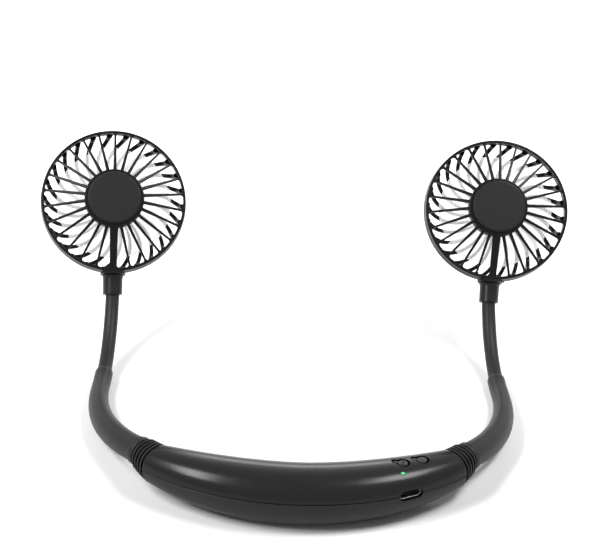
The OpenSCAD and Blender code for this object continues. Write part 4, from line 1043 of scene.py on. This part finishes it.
def saddle_rows():
    """The round block behind the front strut's foot, between the ring and the socket."""
    top, tip = RING_SPLIT - RING_GAP / 2, SOCKET_TOP - SWIVEL_GAP
    cut = math.asin((top + STEM_BACK) / FOOT_R)
    rows = []
    for y, inset in ((RING_IN, 0), (tip - SADDLE_ROUND, 0), (tip - 0.1, 0.08), (tip, SADDLE_ROUND)):
        r = FOOT_R - inset
        rows.append([(r * math.cos(f), -y, min(r * math.sin(f) - STEM_BACK, top - inset))
                     for f in spread(PI - cut, 2 * PI + cut, 40)])
    return rows


def pin_line():
    """Section of the swivel pin with its catch, along the stem's axis."""
    first, last, r = RING_IN + PIN_IN, SOCKET_TOP + PIN_L, PIN_R + CATCH_R
    line = [(BORE_R, first), (PIN_R, first), (PIN_R, last - CATCH_H), (r, last - CATCH_H)]
    return line + [(r, last - PIN_BEVEL), (r - PIN_BEVEL, last), (BORE_R, last)]


for name, side in SIDES:
    place = head_place(side)
    line = ring_line(RING_SPLIT + RING_GAP / 2, RING_FRONT, SPLIT_EDGE, RING_FACE_EDGE)
    ob = lathe(name + "_front_cage", line, place, RING_POINTS)
    parts = [lathe("hub", hub_line(), place)]
    for k in range(SPOKES):
        turn = place @ Matrix.Rotation(2 * PI * k / SPOKES, 4, 'Z')
        half, deeper = (STRUT_W / 2, SPOKE_W) if k == 0 else (SPOKE_W / 2 - SPOKE_THIN, 0)
        parts.append(skin("spoke", placed(turn, spoke_rows(half, deeper))))
    parts.append(skin("foot", placed(place, foot_rows())))
    joined(ob, parts)
    soften(ob, 32)
    dress(ob, grille_mat)
    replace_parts(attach(ob, name + "_head"), name + "_front_grille")

    line = ring_line(RING_LOW, RING_SPLIT - RING_GAP / 2, RING_REAR_EDGE, SPLIT_EDGE)
    ob = lathe(name + "_rear_cage", line, place, RING_POINTS)
    parts = [lathe("plate", plate_line(), place, 72)]
    for k in range(SPOKES):
        turn = 2 * PI * (k + REAR_TURN) / SPOKES - PI / 2
        parts.append(skin("rib", placed(place, rear_rows(turn)), 50))
    parts.append(skin("saddle", placed(place, saddle_rows())))
    stem = place @ Matrix.Translation((0, 0, -STEM_BACK)) @ Matrix.Rotation(PI / 2, 4, 'X')
    parts.append(lathe("pin", pin_line(), stem, 48))
    joined(ob, parts)
    soften(ob, 32)
    dress(ob, grille_mat)
    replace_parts(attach(ob, name + "_head"), name + "_rear_grille")

# floor and light, in metres
FLOOR_TONE, FLOOR_GLOW, FAR_GLOW, SKY, FLOOR_HALF = 0.96, 0.0, 0.88, 0.2, 6
GLOW_CENTRE, GLOW_SPAN = (0, -0.09, 0), (0.07, 0.4)


def seen(nt):
    """1 for what the camera sees, also in a reflection or through glass, and 0 for other light."""
    path = nt.nodes.new("ShaderNodeLightPath")
    total = path.outputs["Is Camera Ray"]
    for key in ("Is Glossy Ray", "Is Transmission Ray"):
        add = nt.nodes.new("ShaderNodeMath")
        add.operation = 'ADD'
        add.use_clamp = True
        nt.links.new(total, add.inputs[0])
        nt.links.new(path.outputs[key], add.inputs[1])
        total = add.outputs[0]
    return total


me = bpy.data.meshes.new("floor")
corners = ((-1, -1), (1, -1), (1, 1), (-1, 1))
me.from_pydata([(x * FLOOR_HALF, y * FLOOR_HALF, 0) for x, y in corners], [], [(0, 1, 2, 3)])
floor = bpy.data.objects.new("floor", me)
bpy.context.scene.collection.objects.link(floor)
floor_mat = bpy.data.materials.new("pale_floor")
floor_mat.use_nodes = True
nt = floor_mat.node_tree
nt.nodes.clear()
out = nt.nodes.new("ShaderNodeOutputMaterial")
matte = nt.nodes.new("ShaderNodeBsdfDiffuse")
matte.inputs["Color"].default_value = (FLOOR_TONE, FLOOR_TONE * 0.985, FLOOR_TONE * 0.995, 1)
glow = nt.nodes.new("ShaderNodeEmission")
glow.inputs["Color"].default_value = (1, 1, 1, 1)
strength = nt.nodes.new("ShaderNodeMath")
strength.operation = 'MULTIPLY'
nt.links.new(seen(nt), strength.inputs[0])
# painted light and shade: the floor's glow, seen only by the camera and in reflections, turns it white far
# off and fades out round the housing, where the floor is darker
nt.links.new(mapped(nt, far_from(nt, GLOW_CENTRE), GLOW_SPAN, (FLOOR_GLOW, FAR_GLOW)), strength.inputs[1])
nt.links.new(strength.outputs[0], glow.inputs["Strength"])
both = nt.nodes.new("ShaderNodeAddShader")
nt.links.new(matte.outputs[0], both.inputs[0])
nt.links.new(glow.outputs[0], both.inputs[1])
nt.links.new(both.outputs[0], out.inputs[0])
me.materials.append(floor_mat)

world = bpy.data.worlds.new("studio")
bpy.context.scene.world = world
world.use_nodes = True
nt = world.node_tree
nt.nodes.clear()
out = nt.nodes.new("ShaderNodeOutputWorld")
sky = nt.nodes.new("ShaderNodeBackground")
sky.inputs["Color"].default_value = (1, 1, 1, 1)
nt.links.new(mapped(nt, seen(nt), (0.0, 1.0), (SKY, 1.0)), sky.inputs["Strength"])
nt.links.new(sky.outputs[0], out.inputs[0])


def lamp(name, at, target, size, power, long_axis=None):
    """A rectangular lamp that faces a target; its long axis says how it is turned."""
    light = bpy.data.lights.new(name, 'AREA')
    light.energy = power
    light.shape = 'RECTANGLE'
    light.size, light.size_y = size
    ob = bpy.data.objects.new(name, light)
    bpy.context.scene.collection.objects.link(ob)
    ob.location = at
    back = (Vector(at) - Vector(target)).normalized()
    if long_axis:
        up = Vector(long_axis)
        up = (up - back * up.dot(back)).normalized()
        ob.rotation_euler = Matrix((up.cross(back), up, back)).transposed().to_euler()
    else:
        ob.rotation_euler = back.to_track_quat('Z', 'Y').to_euler()


lamp("left_box", at=(-0.385, -0.2, 0.49), target=(-0.05, -0.08, 0.018), size=(0.12, 0.35), power=3.1,
     long_axis=(0.32, 0.84, 0.45))
lamp("right_box", at=(0.31, -0.065, 0.55), target=(0.035, -0.088, 0.018), size=(0.22, 0.18), power=2.3)
lamp("back_box", at=(0.0, 0.66, 0.33), target=(0, -0.02, 0.02), size=(0.7, 0.13), power=1.8)
